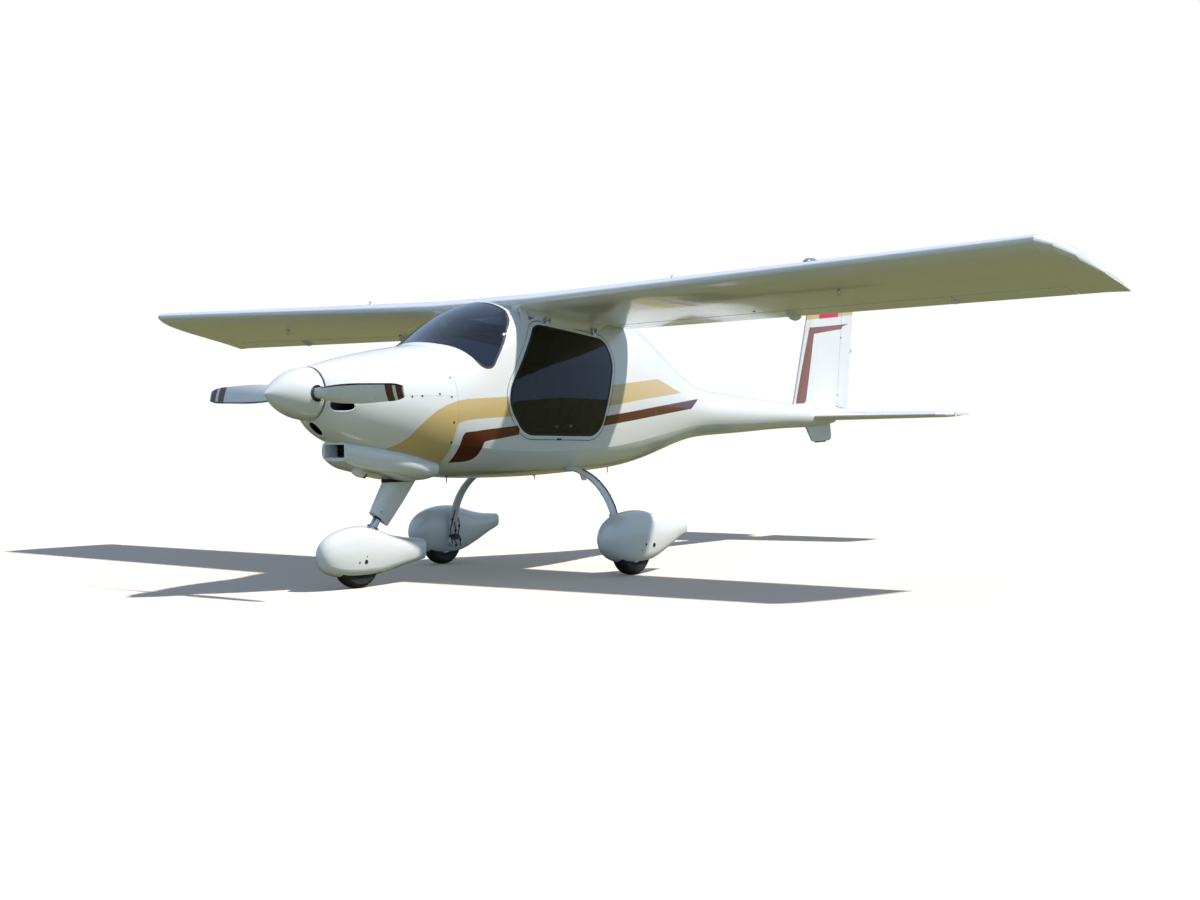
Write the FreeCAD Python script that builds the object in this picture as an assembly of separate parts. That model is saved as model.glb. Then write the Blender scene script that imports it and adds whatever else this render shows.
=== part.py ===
"""High-wing microlight aircraft: composite pod-and-boom fuselage, cantilever wing, fixed tricycle gear.

Millimetres.  +X points to the nose, +Y to the aircraft's left, +Z up; the tyres stand on z = 0 and the
origin lies under the middle of the aircraft's length, on its plane of symmetry.  Places along the
fuselage are stations: millimetres aft of the spinner's tip.
"""
import FreeCAD, Part
import math
import os

V = FreeCAD.Vector
os.makedirs("parts", exist_ok=True)

# ---- driving dimensions --------------------------------------------------------------------------
LENGTH = 6590.0                 # spinner tip to the rudder's upper trailing edge
NOSE_X = LENGTH / 2
SKIN = 8.0                      # composite sandwich of cowl and cabin
GLASS = 4.0
MOVE_GAP = 5.0                  # room round anything that moves
SEAT_GAP = 0.3                  # between a cushion and its seat
RUN_CLEAR = 0.06                # radial play of a running fit
HINGE_PIN = 4.0                 # radius of the hinge pins
SLOT_GAP = 2.0                  # beside a hinge plate in its slot
PLATE = 8.0                     # thickness of a hinge plate
PLATE_HALF = 7.0                # half its height
PLATE_IN = 30.0                 # how far it runs into the fixed piece
EYE_RADIUS = 9.0                # round its pin
PIN_OUT = 14.0                  # of the pin on each side of the plate
SLOT_TALL = 60.0                # half height of a slot's cut

THRUST_Z = 1228.0               # height of the propeller's axis
SPINNER_LENGTH = 330.0
SPINNER_RADIUS = 165.0
PROP_STATION = 288.0
PROP_RADIUS = 924.0
HUB_RADIUS = 62.0
HUB_HALF = 34.0                 # half the hub's length along its axis
SHAFT_RADIUS = 24.0
BLADE_HOLE = 47.0               # radius of the spinner's holes for the blades

COWL_FRONT = 345.0
COWL_REAR = 1180.0
COWL_SPLIT_Z = 1207.0           # upper cowl above, lower cowl below
FIREWALL = 10.0
WINDSHIELD_TOP = 1850.0         # station where the windshield meets the wing
CABIN_REAR = 3000.0             # bulkhead behind the seats
BOOM_END = 6195.0
FLOOR_Z = 752.0
FLOOR_PLATE = 12.0

WING_ROOT_Y = 460.0
WING_BREAK_Y = 4000.0
WING_TIP_Y = 4130.0
WING_ROOT_LE = 1813.0
WING_TIP_LE = 2050.0
WING_ROOT_TE = 2950.0
WING_TIP_TE = 2992.0
WING_ROOT_LE_Z = 1836.0
WING_TIP_LE_Z = 1972.0
WING_ROOT_TE_Z = 1690.0
WING_TIP_TE_Z = 1733.0
WING_THICKNESS = 0.13           # of the chord
WING_CAMBER = 0.022
FLAPERON_FROM_Y = 505.0
FLAPERON_TO_Y = 3820.0
FLAPERON_HINGE = 0.80           # of the chord

STAB_Z = 1045.0
STAB_HALF_SPAN = 1192.0
STAB_ROOT_LE = 5745.0
STAB_TIP_LE = 5985.0
STAB_TE = 6455.0
STAB_THICKNESS = 0.10
ELEVATOR_HINGE = 6222.0
ELEVATOR_FROM_Y = 112.0
HORN_FROM_Y = 1098.0
TORQUE_TUBE = 12.0

FIN_BASE_Z = 1070.0
FIN_TOP_Z = 2375.0
FIN_BASE_LE = 5562.0
FIN_TOP_LE = 5950.0
FIN_BASE_TE = 6412.0
FIN_THICKNESS = 0.085
RUDDER_FROM_Z = 1132.0
RUDDER_TO_Z = 2330.0
RUDDER_HINGE_LOW = 6238.0       # station of the hinge line at the rudder's foot
RUDDER_HINGE_HIGH = 6392.0      # and at its head
VENTRAL_HALF = 9.0              # half the ventral fin's thickness

TYRE_RADIUS = 168.0
TYRE_WIDTH = 104.0
RIM_RADIUS = 88.0
HUB_WIDTH = 84.0
AXLE_RADIUS = 10.0
AXLE_BORE = 6.0                 # radius of the axles' hollow ends, for a tow bar or a jack
AXLE_BORE_FROM = 40.0           # where a main axle's bore starts, outboard of the wheel's centre
SPAT_SKIN = 4.0
WELL_GAP = 10.0                 # between a tyre and its spat's wheel well
TRACK_Y = 910.0                 # from the centre plane to a main wheel
MAIN_STATION = 2330.0
LEG_CHORD = 72.0
LEG_THICK = 22.0
NOSE_WHEEL_STATION = 703.0
STRUT_RAKE = 34.5               # degrees that the nose strut leans forward
STRUT_RADIUS = 20.0


def X(station):
    return NOSE_X - station


# ---- shape helpers -------------------------------------------------------------------------------
def arc3(a, b, c):
    return Part.Arc(a, b, c).toShape()


def line(a, b):
    return Part.makeLine(a, b)


def polygon(points):
    return Part.makePolygon(list(points) + [points[0]])


def prism(points, sweep):
    return Part.Face(polygon(points)).extrude(sweep)


def box(low, high):
    return Part.makeBox(high[0] - low[0], high[1] - low[1], high[2] - low[2], V(*low))


def rod(start, end, radius):
    run = end.sub(start)
    return Part.makeCylinder(radius, run.Length, start, run)


def mirror(shape):
    return shape.mirror(V(0, 0, 0), V(0, 1, 0))


def fuse(shapes):
    shapes = list(shapes)
    out = shapes[0]
    for other in shapes[1:]:
        out = out.fuse(other)
    return out.removeSplitter()


def save(node, shape):
    solids = shape.Solids
    assert solids and all(s.isValid() for s in solids), node
    out = solids[0] if len(solids) == 1 else Part.makeCompound(solids)
    out.exportStep("parts/" + node + ".step")


def body_section(station, top, bottom, half_width, waist, power, inset=0.0):
    """A closed cross-section of eight arcs through points of a superellipse, symmetric left and right."""
    x = X(station)
    w = half_width - inset
    up = top - waist - inset
    down = waist - bottom - inset

    def p(degrees):
        c = math.cos(math.radians(degrees))
        s = math.sin(math.radians(degrees))
        height = up if s > 0 else down
        return V(x, math.copysign(w * abs(c) ** (2 / power), c),
                 waist + math.copysign(height * abs(s) ** (2 / power), s))

    ends = (-30, 30, 60, 120, 150, 210, 240, 300, 330)
    return Part.Wire([arc3(p(a), p((a + b) / 2), p(b)) for a, b in zip(ends, ends[1:])])


def rounded(points, sweep, grow=0.0):
    """A prism on a side-view outline: (station, z, corner radius) clockwise, grown outwards by grow."""
    n = len(points)
    flat = [(X(s), z) for s, z, r in points]
    area = sum(flat[i][0] * flat[(i + 1) % n][1] - flat[(i + 1) % n][0] * flat[i][1] for i in range(n))
    turn = math.copysign(1.0, area)
    moved = []
    for i in range(n):
        (ax, az), (bx, bz) = flat[i], flat[(i + 1) % n]
        length = math.hypot(bx - ax, bz - az)
        nx, nz = (bz - az) / length * turn, -(bx - ax) / length * turn
        moved.append((ax + nx * grow, az + nz * grow, bx - ax, bz - az))
    corners = []
    for i in range(n):
        px, pz, pu, pw = moved[i - 1]
        qx, qz, qu, qw = moved[i]
        t = ((qx - px) * qw - (qz - pz) * qu) / (pu * qw - pw * qu)
        corners.append(V(px + t * pu, 0, pz + t * pw))
    edges = []
    ends = []
    for i in range(n):
        before = corners[i - 1].sub(corners[i]).normalize()
        after = corners[(i + 1) % n].sub(corners[i]).normalize()
        half = before.getAngle(after) / 2
        radius = points[i][2] + grow
        run = radius / math.tan(half)
        middle = before.add(after).normalize()
        tip = middle * (radius / math.sin(half) - radius)
        ends.append((corners[i] + before * run, corners[i] + tip, corners[i] + after * run))
    for i in range(n):
        edges.append(arc3(*ends[i]))
        edges.append(line(ends[i][2], ends[(i + 1) % n][0]))
    face = Part.Face(Part.Wire(edges))
    face.translate(V(0, sweep[0], 0))
    return face.extrude(V(0, sweep[1] - sweep[0], 0))


def slab(from_station, to_station, z=(-100, 4000), y=(-5000, 5000)):
    return box((X(to_station), y[0], z[0]), (X(from_station), y[1], z[1]))


def local_box(origin, x_axis, y_axis, low, high):
    out = Part.makeBox(high[0] - low[0], high[1] - low[1], high[2] - low[2], V(*low))
    z_axis = x_axis.cross(y_axis)
    matrix = FreeCAD.Matrix(x_axis.x, y_axis.x, z_axis.x, origin.x, x_axis.y, y_axis.y, z_axis.y, origin.y,
                            x_axis.z, y_axis.z, z_axis.z, origin.z, 0, 0, 0, 1)
    out.Placement = FreeCAD.Placement(matrix)
    return out


def foil(leading, trailing, up, thickness, camber=0.0):
    """An aerofoil section of arcs between two points; its trailing edge is 3 mm thick."""
    chord = trailing - leading
    c = chord.Length

    def p(side, t):
        half = 5 * thickness * (0.2969 * math.sqrt(t) - 0.126 * t - 0.3516 * t * t + 0.2843 * t ** 3
                                - 0.1015 * t ** 4) + 1.5 / c * t
        return leading + chord * t + up * (c * (4 * camber * t * (1 - t) + side * half))

    stops = (0.012, 0.045, 0.12, 0.27, 0.45, 0.62, 0.80, 0.90, 1.0)
    edges = [arc3(p(1, stops[i + 2]), p(1, stops[i + 1]), p(1, stops[i])) for i in (6, 4, 2, 0)]
    edges.append(arc3(p(1, stops[0]), p(0, 0.0), p(-1, stops[0])))
    edges += [arc3(p(-1, stops[i]), p(-1, stops[i + 1]), p(-1, stops[i + 2])) for i in (0, 2, 4, 6)]
    edges.append(line(p(-1, 1.0), p(1, 1.0)))
    return Part.Wire(edges)


def loft(wires, ruled=False):
    return Part.makeLoft(wires, True, ruled)


def hinged(panel, start, end, nose_start, nose_end, plates, horn=None):
    """Splits a panel at a hinge line into (fixed, moving); plates are shares of the line's length."""
    axis = (end - start).normalize()
    aft = V(-1, 0, 0)
    aft = (aft - axis * aft.dot(axis)).normalize()
    length = (end - start).Length
    reach = max(nose_start, nose_end) + MOVE_GAP

    def region(gap):
        back = local_box(start, aft, axis, (0, -gap, -400), (900, length + gap, 400))
        nose = Part.makeCone(nose_start + gap, nose_end + gap, length + 2 * gap, start - axis * gap, axis)
        return back, nose

    back, wide_nose = region(MOVE_GAP)
    fixed = panel.cut(back.fuse(wide_nose))
    back, nose = region(0.0)
    flap = panel
    if horn:
        fixed = fixed.cut(horn(MOVE_GAP))
        back = back.fuse(horn(0.0))
    for share in plates:
        at = start + axis * (length * share)
        half = PLATE / 2
        plate = local_box(at, aft, axis, (-reach - PLATE_IN, -half, -PLATE_HALF), (0, half, PLATE_HALF))
        eye = Part.makeCylinder(EYE_RADIUS, PLATE, at - axis * half, axis)
        grip = half + PIN_OUT
        pin = Part.makeCylinder(HINGE_PIN, 2 * grip, at - axis * grip, axis)
        hole = Part.makeCylinder(HINGE_PIN + RUN_CLEAR, 2 * grip + 2, at - axis * (grip + 1), axis)
        slot = local_box(at, aft, axis, (-reach - MOVE_GAP, -half - SLOT_GAP, -SLOT_TALL),
                         (EYE_RADIUS + MOVE_GAP, half + SLOT_GAP, SLOT_TALL))
        flap = flap.cut(slot).cut(hole)
        nose = nose.cut(slot).cut(hole)
        fixed = fixed.fuse(fuse([plate, eye, pin]))
    return fixed.removeSplitter(), flap.common(back).fuse(nose).removeSplitter()


# ---- fuselage ------------------------------------------------------------------------------------
# station, top z, bottom z, half width, z of the widest line, superellipse power
COWL = ((COWL_FRONT, 1396, 1060, 168, 1228, 2.0),
        (450, 1425, 962, 245, 1195, 2.1),
        (650, 1468, 880, 335, 1165, 2.2),
        (900, 1512, 790, 408, 1140, 2.25),
        (COWL_REAR, 1548, 712, 462, 1120, 2.3))
CABIN = ((COWL_REAR, 1548, 712, 462, 1120, 2.3),
         (1480, 1712, 672, 502, 1122, 2.5),
         (1800, 1852, 660, 525, 1130, 2.9),
         (2300, 1882, 660, 532, 1140, 3.0),
         (2800, 1848, 676, 490, 1150, 2.8),
         (3200, 1775, 705, 412, 1165, 2.5),
         (3550, 1612, 768, 322, 1150, 2.3),
         (3950, 1376, 862, 235, 1120, 2.15),
         (4450, 1248, 912, 176, 1084, 2.05),
         (5100, 1188, 938, 134, 1064, 2.0),
         (5700, 1148, 954, 100, 1050, 2.0),
         (BOOM_END, 1106, 992, 44, 1045, 2.0))
CHIN = ((540, 932, 806, 122, 868, 3.4),
        (780, 905, 724, 232, 815, 3.0),
        (1000, 862, 676, 300, 770, 2.8),
        (1120, 832, 664, 296, 750, 2.8),
        (1165, 820, 672, 286, 746, 2.8))
# side-view outlines: station, z, corner radius
WINDSHIELD = ((1130, 1900, 5), (1190, 1590, 30), (1330, 1508, 200), (1440, 1322, 75), (1742, 1712, 60),
              (WINDSHIELD_TOP, 1950, 5))
WINDOW = ((1905, 1690, 100), (2612, 1598, 110), (2668, 1440, 200), (2498, 925, 150), (1740, 945, 190),
          (1553, 1185, 190))
DOOR_FRAME = 24.0
DOOR_THICK = 22.0


def body(table, inset=0.0):
    return loft([body_section(*row, inset) for row in table])


cabin_outer = body(CABIN)
cabin_inner = body(CABIN, SKIN)
cowl_outer = body(COWL)
cowl_inner = body(COWL, SKIN)


def wing_chord(share):
    """The chord line's ends at a share of the way from root to break."""
    y = WING_ROOT_Y + (WING_BREAK_Y - WING_ROOT_Y) * share
    at = [V(X(a + (b - a) * share), y, za + (zb - za) * share) for a, b, za, zb in
          ((WING_ROOT_LE, WING_TIP_LE, WING_ROOT_LE_Z, WING_TIP_LE_Z),
           (WING_ROOT_TE, WING_TIP_TE, WING_ROOT_TE_Z, WING_TIP_TE_Z))]
    return at[0], at[1]


root_le, root_te = wing_chord(0.0)
tip_le, tip_te = wing_chord(1.0)
UP = V(0, 0, 1)
root_wire = foil(root_le, root_te, UP, WING_THICKNESS, WING_CAMBER)
centre = Part.Face(root_wire).extrude(V(0, -2 * WING_ROOT_Y, 0))
# tip: share of the tip's length, share of the chord kept, share of the thickness kept
TIP = ((0.0, 1.0, 1.0), (0.50, 0.90, 0.84), (0.84, 0.70, 0.66), (1.0, 0.36, 0.45))
tip_wires = []
for along, kept, thick in TIP:
    y = WING_BREAK_Y + (WING_TIP_Y - WING_BREAK_Y) * along
    back = V(tip_te.x - 12 * along, y, tip_te.z - 4 * along)
    front = V(tip_te.x + (tip_le.x - tip_te.x) * kept, y, tip_te.z + (tip_le.z - tip_te.z) * kept)
    tip_wires.append(foil(front, back, UP, WING_THICKNESS * thick, WING_CAMBER))
wing_whole = loft([root_wire, tip_wires[0]], True).fuse(loft(tip_wires, True)).removeSplitter()


def flaperon_hinge(y):
    share = (y - WING_ROOT_Y) / (WING_BREAK_Y - WING_ROOT_Y)
    le, te = wing_chord(share)
    chord = te - le
    camber = 4 * WING_CAMBER * FLAPERON_HINGE * (1 - FLAPERON_HINGE) * chord.Length
    return le + chord * FLAPERON_HINGE + UP * camber, chord.Length * WING_THICKNESS * 0.208


hinge_in, nose_in = flaperon_hinge(FLAPERON_FROM_Y)
hinge_out, nose_out = flaperon_hinge(FLAPERON_TO_Y)
wing, flaperon = hinged(wing_whole, hinge_in, hinge_out, nose_in, nose_out, (0.05, 0.415, 0.78, 0.97))

# ---- tail ----------------------------------------------------------------------------------------
def stab_foil(y, le, thickness=STAB_THICKNESS):
    return foil(V(X(le), y, STAB_Z), V(X(STAB_TE), y, STAB_Z), UP, thickness)


stab_half = loft([stab_foil(0, STAB_ROOT_LE), stab_foil(STAB_HALF_SPAN - 60, STAB_TIP_LE)], True)
stab_half = stab_half.fuse(loft([stab_foil(STAB_HALF_SPAN - 60, STAB_TIP_LE),
                                 stab_foil(STAB_HALF_SPAN - 20, STAB_TIP_LE + 90),
                                 stab_foil(STAB_HALF_SPAN, STAB_TIP_LE + 260)], True)).removeSplitter()
stab_half = stab_half.cut(slab(ELEVATOR_HINGE - 30, 7000, (500, 1500), (-10, ELEVATOR_FROM_Y - 2)))


def stab_nose(y):
    share = y / (STAB_HALF_SPAN - 60)
    chord = STAB_TE - (STAB_ROOT_LE + (STAB_TIP_LE - STAB_ROOT_LE) * share)
    t = 1 - (STAB_TE - ELEVATOR_HINGE) / chord
    return chord * STAB_THICKNESS * 5 * (0.2969 * math.sqrt(t) - 0.126 * t - 0.3516 * t * t
                                         + 0.2843 * t ** 3 - 0.1015 * t ** 4) * 0.96


def horn(gap):
    return slab(STAB_ROOT_LE + 320 - gap, 7000, (500, 1500), (HORN_FROM_Y - gap, 2000))


stab_fixed, elevator_half = hinged(stab_half, V(X(ELEVATOR_HINGE), ELEVATOR_FROM_Y, STAB_Z),
                                   V(X(ELEVATOR_HINGE), STAB_HALF_SPAN + 1, STAB_Z),
                                   stab_nose(ELEVATOR_FROM_Y), stab_nose(STAB_HALF_SPAN - 60),
                                   (0.06, 0.42, 0.80), horn)
torque_tube = Part.makeCylinder(TORQUE_TUBE, 2 * ELEVATOR_FROM_Y + 10,
                                V(X(ELEVATOR_HINGE), -ELEVATOR_FROM_Y - 5, STAB_Z), V(0, 1, 0))
stabiliser = fuse([stab_fixed, mirror(stab_fixed)])
elevator = fuse([elevator_half, torque_tube, mirror(elevator_half)])

fin_whole = loft([foil(V(X(a), 0, z), V(X(b), 0, z), V(0, 1, 0), FIN_THICKNESS) for a, b, z in
                  ((FIN_BASE_LE, FIN_BASE_TE, FIN_BASE_Z), (FIN_TOP_LE, LENGTH, FIN_TOP_Z))], True)
fin_whole = fin_whole.cut(slab(BOOM_END - 5, 7000, (0, RUDDER_FROM_Z - 25)))
fin, rudder = hinged(fin_whole, V(X(RUDDER_HINGE_LOW), 0, RUDDER_FROM_Z),
                     V(X(RUDDER_HINGE_HIGH), 0, RUDDER_TO_Z), 22, 19, (0.08, 0.5, 0.92))
ventral = rounded(((5742, 1000, 10), (5872, 830, 34), (6158, 838, 42), (6132, 1000, 10)),
                  (-VENTRAL_HALF, VENTRAL_HALF))

boom_hollow = cabin_inner.common(slab(CABIN_REAR + FIREWALL, BOOM_END - 60))
boom = cabin_outer.common(slab(CABIN_REAR, 7000)).cut(boom_hollow).cut(stabiliser)
fin = fin.cut(cabin_outer).cut(stabiliser)
ventral = ventral.cut(cabin_outer).cut(stabiliser)

# ---- cabin, doors and glass ----------------------------------------------------------------------
shell = cabin_outer.cut(cabin_inner).common(slab(COWL_REAR, CABIN_REAR))
glass_prism = rounded(WINDSHIELD, (-900, 900))
glass_skin = cabin_outer.cut(body(CABIN, GLASS))
windshield = glass_skin.common(slab(COWL_REAR, WINDSHIELD_TOP)).common(glass_prism).cut(centre)
roof_clear = slab(WINDSHIELD_TOP - 5, 2420, (1700, 2200), (-WING_ROOT_Y + 40, WING_ROOT_Y - 40))
shell = shell.cut(glass_prism).cut(centre).cut(roof_clear)
door_opening = rounded(WINDOW, (200, 900), DOOR_FRAME + MOVE_GAP)
shell = shell.cut(door_opening).cut(mirror(door_opening))

window_hole = rounded(WINDOW, (200, 900))
door_panel = cabin_outer.cut(body(CABIN, DOOR_THICK)).common(rounded(WINDOW, (200, 900), DOOR_FRAME))
door_panel = door_panel.cut(window_hole)
door_glass = glass_skin.common(window_hole)


def side_y(station, z):
    """Half width of the cabin's outside at a station and height."""
    probe = line(V(X(station), 0, z), V(X(station), 900, z)).common(cabin_outer)
    return max(v.Point.y for v in probe.Vertexes)


# hinge line along the door's top edge, just outside the skin
(top_a, top_za, _), (top_b, top_zb, _) = WINDOW[0], WINDOW[1]
DOOR_HINGE_OUT = 14.0
slope = math.atan2(top_za - top_zb, top_b - top_a)
lift = DOOR_FRAME / math.cos(slope)
hinge_y = max(side_y(top_a, top_za + lift), side_y(top_b, top_zb + lift)) + DOOR_HINGE_OUT
door_a = V(X(top_a), hinge_y, top_za + lift)
door_b = V(X(top_b), hinge_y, top_zb + lift)
door_axis = (door_b - door_a).normalize()
inward = V(0, -1, 0)
door_hinges = []
up_axis = door_axis.cross(inward)
LUG = 30.0                      # length of a door lug along the hinge line
EAR = 7.0                       # thickness of the ears beside it
for share in (0.16, 0.84):
    at = door_a + (door_b - door_a) * share
    lug = Part.makeCylinder(EYE_RADIUS, LUG, at - door_axis * (LUG / 2), door_axis)
    lug = lug.fuse(local_box(at, inward, up_axis, (-EYE_RADIUS, -DOOR_FRAME, -LUG / 2), (60, 0, LUG / 2)))
    lug = lug.cut(body(CABIN, DOOR_THICK))
    bore_half = door_axis * (LUG / 2 + 1)
    lug = lug.cut(rod(at - bore_half, at + bore_half, HINGE_PIN + RUN_CLEAR))
    reach = LUG / 2 + 1 + EAR
    notch_half = door_axis * (reach + MOVE_GAP)
    door_panel = door_panel.cut(rod(at - notch_half, at + notch_half, EYE_RADIUS + SLOT_GAP)).fuse(lug)
    ears = Part.makeCylinder(HINGE_PIN, 2 * reach, at - door_axis * reach, door_axis)
    for end in (-reach, reach - EAR):
        ears = ears.fuse(Part.makeCylinder(EYE_RADIUS, EAR, at + door_axis * end, door_axis))
        ears = ears.fuse(local_box(at, inward, up_axis, (-EYE_RADIUS, 6, end), (70, 40, end + EAR)))
    door_hinges.append(ears.cut(cabin_outer).cut(centre))
door_panel = door_panel.removeSplitter()

firewall = cabin_inner.common(slab(COWL_REAR, COWL_REAR + FIREWALL))
floor = cabin_inner.common(slab(COWL_REAR + FIREWALL, CABIN_REAR, (FLOOR_Z, FLOOR_Z + FLOOR_PLATE)))

# ---- engine, cowl and scoop ----------------------------------------------------------------------
ENGINE = ((620, 1020), (-215, 215), (1035, 1320))        # stations, y, z
engine = slab(ENGINE[0][0], ENGINE[0][1], ENGINE[2], ENGINE[1])
engine = engine.fuse(rod(V(X(ENGINE[0][0] + 5), 0, THRUST_Z), V(X(400), 0, THRUST_Z), 75))
shaft_end = V(X(PROP_STATION - HUB_HALF - 20), 0, THRUST_Z)
engine = engine.fuse(rod(V(X(410), 0, THRUST_Z), shaft_end, SHAFT_RADIUS))
mounts = []
for y in (-180, 180):
    for z in (1065, 1290):
        mounts.append(rod(V(X(ENGINE[0][1] - 5), y, z), V(X(COWL_REAR), y, z), 14))
engine = fuse([engine] + mounts)

CHEEK = (215.0, 46.0, 1150.0, 30.0)      # y, half width, z, half height
cheek = local_box(V(X(620), CHEEK[0], CHEEK[2]), V(1, 0, 0), V(0, 1, 0), (0, -CHEEK[1] + CHEEK[3], -CHEEK[3]),
                  (400, CHEEK[1] - CHEEK[3], CHEEK[3]))
for side in (-1, 1):
    cheek_end = V(X(620), CHEEK[0] + side * (CHEEK[1] - CHEEK[3]), CHEEK[2])
    cheek = cheek.fuse(Part.makeCylinder(CHEEK[3], 400, cheek_end, V(1, 0, 0)))
ROUND_INLET = (0.0, 1012.0, 40.0)        # y, z, radius
round_inlet = Part.makeCylinder(ROUND_INLET[2], 400, V(X(620), ROUND_INLET[0], ROUND_INLET[1]), V(1, 0, 0))
INTAKE = (92.0, 828.0, 912.0, 300.0)     # half width, low z, high z, depth
intake = rounded(((500, INTAKE[1], 4), (500, INTAKE[2], 4), (540 + INTAKE[3], INTAKE[2] - 10, 12),
                  (540 + INTAKE[3], INTAKE[1] + 10, 12)), (-INTAKE[0], INTAKE[0]))
SHAFT_HOLE = 90.0
cowl = cowl_outer.cut(cowl_inner).fuse(cowl_outer.common(slab(COWL_FRONT, COWL_FRONT + SKIN)))
cowl = cowl.cut(rod(V(X(COWL_FRONT + 30), 0, THRUST_Z), V(X(COWL_FRONT - 30), 0, THRUST_Z), SHAFT_HOLE))
cowl = cowl.cut(cheek).cut(mirror(cheek)).cut(round_inlet)
chin = body(CHIN).cut(cowl_outer).cut(cabin_outer)

# ---- nose gear -----------------------------------------------------------------------------------
nose_axle = V(X(NOSE_WHEEL_STATION), 0, TYRE_RADIUS)
rake = math.radians(STRUT_RAKE)
strut_up = V(-math.sin(rake), 0, math.cos(rake))
strut_aft = V(-math.cos(rake), 0, -math.sin(rake))


def on_strut(distance, aft=0.0):
    return nose_axle + strut_up * distance + strut_aft * aft


FORK_TOP = 205.0                # crown's top above the axle, along the strut
LEG_FROM, LEG_TO = 322.0, 705.0
# distance along the strut, chord, share of the chord ahead of the axis, thickness share
LEG_SECTIONS = ((LEG_FROM, 172, 0.42, 0.34), (470, 205, 0.40, 0.32), (LEG_TO, 240, 0.38, 0.30))
leg_wires = [foil(on_strut(d, -c * f), on_strut(d, c * (1 - f)), V(0, 1, 0), t)
             for d, c, f, t in LEG_SECTIONS]
nose_leg = loft(leg_wires)
bore_deep = 200.0
nose_leg = nose_leg.cut(rod(on_strut(LEG_FROM - 5), on_strut(LEG_FROM + bore_deep), STRUT_RADIUS + RUN_CLEAR))
nose_leg = nose_leg.common(box((-4000, -200, 0), (4000, 200, 735)))

ARM_Y = TYRE_WIDTH / 2 + MOVE_GAP + 4
ARM_THICK = 8.0


def wheel_fork(axle, aft, top):
    """Crown and two arms round a tyre, with the axle."""
    side = V(0, 1, 0)
    crown = local_box(axle, aft, side, (-26, -ARM_Y - ARM_THICK, -top), (26, ARM_Y + ARM_THICK, -top + 18))
    parts = [crown]
    for s in (-1, 1):
        low = ARM_Y if s > 0 else -ARM_Y - ARM_THICK
        parts.append(local_box(axle, aft, side, (-20, low, -top), (20, low + ARM_THICK, 0)))
        parts.append(Part.makeCylinder(24, ARM_THICK, axle + side * low, side))
    parts.append(rod(axle - side * (ARM_Y + 4), axle + side * (ARM_Y + 4), AXLE_RADIUS))
    return fuse(parts)


fork = wheel_fork(nose_axle, strut_aft, FORK_TOP)
oleo = rod(on_strut(FORK_TOP), on_strut(LEG_FROM + bore_deep - 25), STRUT_RADIUS)
oleo = oleo.fuse(rod(on_strut(FORK_TOP), on_strut(FORK_TOP + 45), 30))

# sections relative to the wheel: distance aft of the axle, top z, bottom z, half width, waist z, power
NOSE_SPAT = ((-309, 222, 200, 8, 211, 2.0), (-302, 254, 168, 32, 211, 2.1), (-284, 288, 138, 54, 211, 2.2),
             (-250, 319, 111, 73, 211, 2.4), (-190, 352, 88, 89, 212, 2.6), (-100, 380, 74, 98, 213, 2.8),
             (0, 391, 70, 100, 214, 2.8), (90, 383, 71, 97, 214, 2.8), (170, 361, 77, 89, 214, 2.7),
             (250, 331, 89, 78, 213, 2.6), (320, 314, 102, 68, 212, 2.5), (385, 303, 114, 59, 212, 2.4),
             (450, 294, 126, 49, 212, 2.4), (515, 285, 137, 40, 211, 2.4), (580, 276, 147, 31, 211, 2.4))
MAIN_SPAT = ((-309, 261, 239, 8, 250, 2.0), (-302, 292, 204, 33, 250, 2.1), (-284, 325, 172, 56, 250, 2.2),
             (-250, 358, 139, 76, 250, 2.4), (-190, 393, 106, 93, 250, 2.6), (-100, 420, 84, 103, 250, 2.8),
             (0, 431, 77, 105, 250, 2.8), (100, 426, 81, 102, 251, 2.8), (180, 408, 94, 94, 253, 2.7),
             (250, 389, 116, 84, 257, 2.6), (315, 373, 141, 74, 262, 2.5), (380, 361, 168, 64, 268, 2.5),
             (445, 353, 196, 53, 276, 2.4), (510, 348, 222, 42, 285, 2.4), (575, 343, 246, 31, 294, 2.4))


def spat(table, station, inset=0.0):
    return loft([body_section(station + s, top, bottom, w, waist, power, inset if w > 20 else inset * 0.9)
                 for s, top, bottom, w, waist, power in table])


def hollow_spat(table, station):
    inner = spat(table[3:-1], station, SPAT_SKIN)
    well_half = TYRE_WIDTH / 2 + WELL_GAP
    well = Part.makeCylinder(TYRE_RADIUS + WELL_GAP, 2 * well_half, V(X(station), -well_half, TYRE_RADIUS),
                             V(0, 1, 0))
    return spat(table, station).cut(inner).cut(well)


def boss(axle, side, start, table, station):
    """From a fork arm or axle out to flush with the spat's skin."""
    stub = rod(axle + V(0, side * start, 0), axle + V(0, side * 140, 0), 15)
    return stub.common(spat(table, station))


nose_spat = hollow_spat(NOSE_SPAT, NOSE_WHEEL_STATION)
fork = fork.fuse(boss(nose_axle, 1, ARM_Y + 2, NOSE_SPAT, NOSE_WHEEL_STATION))
fork = fork.fuse(boss(nose_axle, -1, ARM_Y + 2, NOSE_SPAT, NOSE_WHEEL_STATION))
fork = fuse([fork, oleo])
nose_spat = nose_spat.cut(fork)
fork = fork.cut(rod(nose_axle - V(0, 200, 0), nose_axle + V(0, 200, 0), AXLE_BORE))
nose_spat = nose_spat.cut(rod(on_strut(FORK_TOP - 40), on_strut(FORK_TOP + 200), 36).common(
    slab(0, 7000, (300, 600))))


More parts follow.
